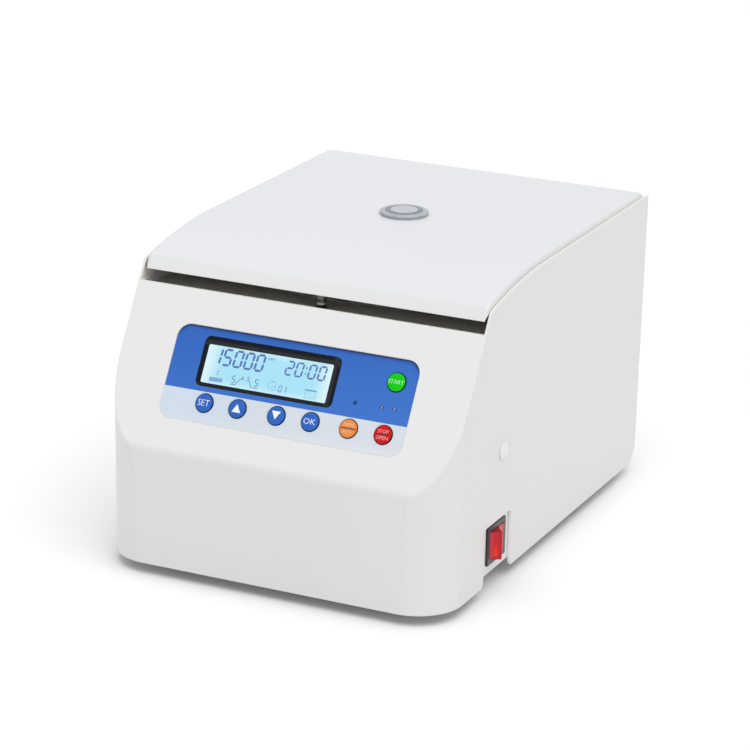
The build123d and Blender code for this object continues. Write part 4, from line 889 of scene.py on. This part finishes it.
v, f = text_shape("START", width=11.2, bold=-0.010)
wrapped("start_legend", v, f, BUTTONS["start_button"], "start_button", M["ink_mint"])
v, f = text_shape("SET", width=8.5, bold=-0.012, squeeze=0.9)
wrapped("set_legend", v, f, BUTTONS["set_button"], "set_button", M["ink_white"])
v, f = triangle(6.6, 5.8, True)
wrapped("up_legend", lift_text(np.array(v), 0.2), f, BUTTONS["up_button"], "up_button", M["ink_white"])
v, f = triangle(6.6, 5.8, False)
wrapped("down_legend", lift_text(np.array(v), 0.1), f, BUTTONS["down_button"], "down_button", M["ink_white"])
v, f = text_shape("OK", width=8.7, bold=-0.010, squeeze=1.1)
wrapped("ok_legend", v, f, BUTTONS["ok_button"], "ok_button", M["ink_white"])
v, f = text_shape("RPM", width=7.0, bold=-0.012, squeeze=1.15)
wrapped("mode_legend_top", lift_text(v, 2.5), f, BUTTONS["mode_button"], "mode_button", M["ink_cream"])
v, f = text_shape("RCF", width=5.9, bold=-0.010, squeeze=1.1)
wrapped("mode_legend_low", lift_text(v, -2.55), f, BUTTONS["mode_button"], "mode_button", M["ink_cream"])
v, f = text_shape("STOP", width=7.6, bold=-0.010)
wrapped("stop_legend_top", lift_text(v, 2.1), f, BUTTONS["stop_button"], "stop_button", M["ink_blush"])
v, f = text_shape("OPEN", width=8.6, bold=-0.010)
wrapped("stop_legend_low", lift_text(v, -2.3), f, BUTTONS["stop_button"], "stop_button", M["ink_blush"])


def divider(half, t):
    k = 12
    top = [(-half + 2 * half * i / k, t / 2) for i in range(k + 1)]
    low = [(-half + 2 * half * i / k, -t / 2) for i in range(k + 1)]
    pts = top + low
    faces = [(i, k + 1 + i, k + 2 + i, i + 1) for i in range(k)]
    return np.array(pts), faces


v, f = divider(5.6, 0.66)
wrapped("mode_divider", v, f, BUTTONS["mode_button"], "mode_button", M["ink_dark"])
v, f = divider(5.6, 0.50)
wrapped("stop_divider", v, f, BUTTONS["stop_button"], "stop_button", M["ink_dark"])

# ---------------------------------------------------------------- painted shade: near-black rings in the gap round each cap
def washers(spots, inner, outer, low, high, n=48):
    verts, faces = [], []
    for x0, s0 in spots:
        k = len(verts)
        for r, z in ((inner, low), (outer, low), (outer, high), (inner, high)):
            verts += [((x0 + r * math.cos(2 * math.pi * i / n)) * MM, (r * math.sin(2 * math.pi * i / n) - s0) * MM, z * MM) for i in range(n)]
        for ring in range(4):
            a, b = k + ring * n, k + (ring + 1) % 4 * n
            faces += [(a + i, a + (i + 1) % n, b + (i + 1) % n, b + i) for i in range(n)]
    return verts, faces


v, f = washers(BUTTONS.values(), CAP_R + 0.12, 6.88, -0.95, -0.36)
piece("key_gap_painted_shade", v, f, M["gap"], "root", FACE)

# ---------------------------------------------------------------- display segments
LCD_LOW, LCD_HIGH = -0.905, -0.85
SEGMENTS = {
    "0": "abcdef", "1": "bc", "2": "abdeg", "3": "abcdg", "4": "bcfg", "5": "acdfg",
    "6": "acdefg", "7": "abc", "8": "abcdefg", "9": "abcdfg",
}


def seven(batch, digit, x, s, w, h, t, slant=0.085, index=0, gap=0.32):
    """One seven-segment digit centred on x, s (s runs down the slope), w by h, stroke t."""
    def bar(x0, y0, x1, y1):
        dx, dy = x1 - x0, y1 - y0
        length = math.hypot(dx, dy)
        ux, uy = dx / length, dy / length
        px, py = -uy, ux
        a0, a1 = gap, length - gap
        pts = []
        for along, out in ((a0, 0), (a0 + t / 2, t / 2), (a1 - t / 2, t / 2), (a1, 0), (a1 - t / 2, -t / 2), (a0 + t / 2, -t / 2)):
            pts.append((x0 + ux * along + px * out, y0 + uy * along + py * out))
        return pts

    W, H = (w - t) / 2, (h - t) / 2
    ends = {
        "a": (-W, H, W, H), "b": (W, 0, W, H), "c": (W, -H, W, 0), "d": (-W, -H, W, -H),
        "e": (-W, -H, -W, 0), "f": (-W, 0, -W, H), "g": (-W, 0, W, 0),
    }
    for seg in SEGMENTS[digit]:
        poly = [((x + px + slant * py) * MM, (py - s) * MM) for px, py in bar(*ends[seg])]
        batch.add(poly, LCD_LOW * MM, LCD_HIGH * MM, index)


def stroke(batch, points, t, index=0):
    """A thin line through points (x, s)."""
    for (x0, s0), (x1, s1) in zip(points, points[1:]):
        dx, dy = x1 - x0, -(s1 - s0)
        k = math.hypot(dx, dy) or 1.0
        px, py = -dy / k * t / 2, dx / k * t / 2
        ex, ey = dx / k * t * 0.35, dy / k * t * 0.35
        poly = [(x0 - ex + px, -s0 - ey + py), (x0 - ex - px, -s0 - ey - py), (x1 + ex - px, -s1 + ey - py), (x1 + ex + px, -s1 + ey + py)]
        batch.add([(a * MM, b * MM) for a, b in poly], LCD_LOW * MM, LCD_HIGH * MM, index)


def block(batch, x0, s0, x1, s1, index=0, skew=0.0):
    poly = [(x0 + skew, -s0), (x1 + skew, -s0), (x1 - skew, -s1), (x0 - skew, -s1)]
    batch.add([(a * MM, b * MM) for a, b in poly], LCD_LOW * MM, LCD_HIGH * MM, index)


lcd = Batch()
for digit, x in zip("15000", (-57.3, -49.4, -41.2, -33.1, -25.0)):
    seven(lcd, digit, x, 43.9, 6.9, 12.4, 1.55, index=0, gap=0.2)
for digit, x in zip("20", (-2.5, 4.7)):
    seven(lcd, digit, x, 43.9, 5.9, 10.5, 1.25, index=0, gap=0.2)
for digit, x in zip("00", (14.4, 21.7)):
    seven(lcd, digit, x, 43.9, 5.9, 10.5, 1.25, index=0, gap=0.2)
for s in (41.9, 46.0):
    block(lcd, 9.15, s - 0.6, 10.15, s + 0.6, index=0, skew=0.05)
# second row: chamber number, bar, ramp times, programme number and lid state
seven(lcd, "1", -55.0, 55.2, 2.6, 4.4, 0.6, index=1, gap=0.1)
block(lcd, -59.3, 58.8, -49.2, 61.6, index=3)
seven(lcd, "5", -41.2, 57.9, 2.9, 5.4, 0.62, index=1, gap=0.1)
stroke(lcd, [(-42.9, 61.5), (-39.3, 61.4), (-36.6, 57.1), (-33.8, 56.8)], 0.5, 1)
stroke(lcd, [(-35.9, 55.9), (-34.4, 55.2), (-34.9, 57.0)], 0.42, 1)
seven(lcd, "5", -24.0, 57.7, 2.9, 5.2, 0.62, index=1, gap=0.1)
stroke(lcd, [(-31.9, 56.9), (-29.7, 57.0), (-27.6, 61.3), (-22.7, 61.5)], 0.5, 1)
stroke(lcd, [(-31.5, 55.5), (-30.6, 54.6), (-30.2, 56.2)], 0.42, 1)
seven(lcd, "0", -5.9, 58.9, 2.7, 4.7, 0.58, index=1, gap=0.1)
seven(lcd, "1", -2.5, 58.9, 2.7, 4.7, 0.58, index=1, gap=0.1)
stroke(lcd, [(12.2, 56.5), (20.5, 56.5)], 0.75, 1)
stroke(lcd, [(12.6, 57.6), (12.6, 61.6), (20.2, 61.6), (20.2, 57.6)], 0.3, 2)
ring = [(-12.0 + 2.6 * math.cos(a), 57.9 + 3.1 * math.sin(a)) for a in [math.radians(d) for d in range(0, 361, 24)]]
for a, b in zip(ring[::2], ring[1::2]):
    stroke(lcd, [a, b], 0.3, 2)
stroke(lcd, [(-15.2, 55.4), (-15.2, 60.8)], 0.3, 2)
stroke(lcd, [(-14.2, 54.6), (-10.6, 54.6)], 0.3, 2)
ring = [(-10.9 + 1.4 * math.cos(a), 59.3 + 1.5 * math.sin(a)) for a in [math.radians(d) for d in range(0, 361, 30)]]
stroke(lcd, ring, 0.28, 2)
piece(
    "lcd_segments", lcd.v, lcd.f, [M["seg"], M["seg_mid"], M["seg_soft"], M["seg_block"]], "root", FACE, face_mats=lcd.m
)


def lcd_words(name, words, x, s, width, material, bold=0.0):
    v, f = text_shape(words, width=width, bold=bold)
    n = len(v)
    top = [((a + x) * MM, (b - s) * MM, (LCD_HIGH + 0.01) * MM) for a, b in v]
    me_faces = [tuple(t) for t in f]
    bm = bmesh.new()
    vs = [bm.verts.new(t) for t in top]
    for t in me_faces:
        try:
            bm.faces.new([vs[i] for i in t])
        except ValueError:
            pass
    bmesh.ops.recalc_face_normals(bm, faces=bm.faces)
    if sum(q.normal.z * q.calc_area() for q in bm.faces) < 0:
        bmesh.ops.reverse_faces(bm, faces=bm.faces)
    out = bmesh.ops.extrude_face_region(bm, geom=bm.faces[:])
    for e in out["geom"]:
        if isinstance(e, bmesh.types.BMVert):
            e.co.z += 0.02 * MM
    bmesh.ops.recalc_face_normals(bm, faces=bm.faces)
    bm.verts.index_update()
    verts = [tuple(q.co) for q in bm.verts]
    faces = [tuple(q.index for q in g.verts) for g in bm.faces]
    bm.free()
    return piece(name, verts, faces, material, "root", FACE)


lcd_words("lcd_unit", "RPM", -16.9, 40.1, 5.0, M["seg_mid"])
lcd_words("lcd_bar_words", "ROTOR", -54.25, 60.2, 8.4, M["seg_soft"], bold=0.01)

# ---------------------------------------------------------------- pan-head screws with cross recesses
def pan_head(bm, centre, out, side, radius, height, spin):
    """A domed head with a cross recess, its flat on centre and its dome along out."""
    other = out.cross(side)
    side = (side * math.cos(spin) + other * math.sin(spin)).normalized()
    other = out.cross(side)
    n = 32
    arm, half = radius * 0.62, radius * 0.17
    rings = [(1.0, 0.0), (1.0, 0.35), (0.93, 0.68), (0.78, 0.9), (0.5, 1.0)]
    # the recess outline: a plus sign, with its 12 corners
    plus = []
    for q in range(4):
        a = math.pi / 2 * q
        c, s = math.cos(a), math.sin(a)
        for px, py in ((half, -half), (arm, -half), (arm, half)):
            plus.append((px * c - py * s, px * s + py * c))
    layers = []
    for k, h in rings:
        layers.append([bm.verts.new(centre + side * (radius * k * math.cos(2 * math.pi * i / n)) + other * (radius * k * math.sin(2 * math.pi * i / n)) + out * (height * h)) for i in range(n)])
    for a, b in zip(layers, layers[1:]):
        for i in range(n):
            bm.faces.new((a[i], a[(i + 1) % n], b[(i + 1) % n], b[i]))
    bm.faces.new(layers[0][::-1])
    top = [bm.verts.new(centre + side * x + other * y + out * height) for x, y in plus]
    deep = [bm.verts.new(centre + side * x * 0.8 + other * y * 0.8 + out * height * 0.25) for x, y in plus]
    m = len(plus)
    for i in range(m):
        bm.faces.new((top[i], top[(i + 1) % m], deep[(i + 1) % m], deep[i]))
    bm.faces.new(deep)
    # the crown between the last ring and the plus
    outer = layers[-1]
    edges = []
    for loop in (outer, top):
        for i in range(len(loop)):
            e = bm.edges.get((loop[i], loop[(i + 1) % len(loop)]))
            edges.append(e)
    bmesh.ops.triangle_fill(bm, use_beauty=True, use_dissolve=False, edges=edges, normal=out)


def screw_set(name, spots, out, side, radius, height, shank_r, shank, body, old):
    bm = bmesh.new()
    for i, c in enumerate(spots):
        pan_head(bm, Vector(c), Vector(out), Vector(side), radius, height, 0.5 + 1.7 * i)
        o, s = Vector(out), Vector(side)
        t = o.cross(s)
        rings = []
        for h in (0.0, -shank):
            rings.append([bm.verts.new(Vector(c) + s * (shank_r * math.cos(a)) + t * (shank_r * math.sin(a)) + o * h) for a in [2 * math.pi * k / 16 for k in range(16)]])
        for k in range(16):
            bm.faces.new((rings[0][k], rings[1][k], rings[1][(k + 1) % 16], rings[0][(k + 1) % 16]))
        bm.faces.new(rings[1][::-1])
        bm.faces.new(rings[0])
    bmesh.ops.recalc_face_normals(bm, faces=bm.faces)
    me = bpy.data.meshes.new(name)
    bm.to_mesh(me)
    bm.free()
    me.materials.append(M["screw"])
    for p in me.polygons:
        p.use_smooth = len(p.vertices) == 4
    o = bpy.data.objects.new(name, me)
    bpy.context.scene.collection.objects.link(o)
    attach(o, body)
    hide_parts(old)
    return o


screw_set(
    "panel_screw_heads",
    [(x * MM, 176.5 * MM, z * MM) for x, z in ((-60, 35), (60, 35), (-121, 60), (121, 60), (-121, 165), (121, 165))],
    (0, 1, 0), (1, 0, 0), 3.0 * MM, 1.0 * MM, 1.45 * MM, 1.15 * MM, "root", "panel_screws",
)
screw_set(
    "lid_screw_heads",
    [(sx * 117.5 * MM, y * MM, 198.0 * MM) for sx in (-1, 1) for y in (-92.0, 35.5, 138.0)],
    (0, 0, -1), (1, 0, 0), 2.8 * MM, 1.2 * MM, 1.25 * MM, 4.6 * MM, "lid", "lid_screws",
)


# ---------------------------------------------------------------- floor, light and camera
def floor():
    s = Shader("floor_pale")
    cloud = s.noise(1.3, 4.0, 0.55)
    fine = s.noise(420.0, 2.0, 0.5)
    s.set(Base_Color=s.mix(s.remap(cloud, 0.3, 0.7, 0.0, 1.0), (0.95, 0.95, 0.95, 1), (0.94, 0.94, 0.941, 1)), Roughness=s.remap(fine, 0.3, 0.7, 0.7, 0.8), Specular_IOR_Level=0.2)
    n = 48
    verts, faces = [(0, 0, 0)], []
    for k in range(n):
        a = 2 * math.pi * k / n
        verts.append((7 * math.cos(a), 7 * math.sin(a), 0))
        faces.append((0, k + 1, (k + 1) % n + 1))
    me = bpy.data.meshes.new("floor")
    me.from_pydata(verts, [], faces)
    me.materials.append(s.mat)
    o = bpy.data.objects.new("floor", me)
    bpy.context.scene.collection.objects.link(o)


floor()

world = bpy.data.worlds.new("studio")
bpy.context.scene.world = world
world.use_nodes = True
world.node_tree.nodes["Background"].inputs["Color"].default_value = (0.985, 0.99, 1.0, 1)
world.node_tree.nodes["Background"].inputs["Strength"].default_value = 0.765


sun = bpy.data.lights.new("key", "SUN")
sun.energy = 1.20
sun.angle = math.radians(50)
sun.color = (1.0, 0.995, 0.985)
key = bpy.data.objects.new("key", sun)
key.rotation_euler = Vector((-0.10, 0.08, -0.34)).to_track_quat("-Z", "Y").to_euler()
bpy.context.scene.collection.objects.link(key)

cam_data = bpy.data.cameras.new("photo_camera")
cam_data.sensor_width = 36.0
cam_data.lens = 3130.655 / 750.0 * 36.0
cam_data.clip_start, cam_data.clip_end = 0.05, 60.0
cam = bpy.data.objects.new("photo_camera", cam_data)
bpy.context.scene.collection.objects.link(cam)
a, e, roll = 0.435309629, 0.324637118, 0.020987288
back = Vector((math.sin(a) * math.cos(e), -math.cos(a) * math.cos(e), math.sin(e)))
right = Vector((math.cos(a), math.sin(a), 0.0))
up = back.cross(right)
r = right * math.cos(roll) + up * math.sin(roll)
u = -right * math.sin(roll) + up * math.cos(roll)
m = Matrix.Identity(4)
for i in range(3):
    m[i][0], m[i][1], m[i][2] = r[i], u[i], back[i]
m[0][3], m[1][3], m[2][3] = 0.88742, -1.91870, 0.81824
cam.matrix_world = m
bpy.context.scene.camera = cam
bpy.context.scene.view_settings.view_transform = "Standard"
bpy.context.scene.view_settings.look = "None"
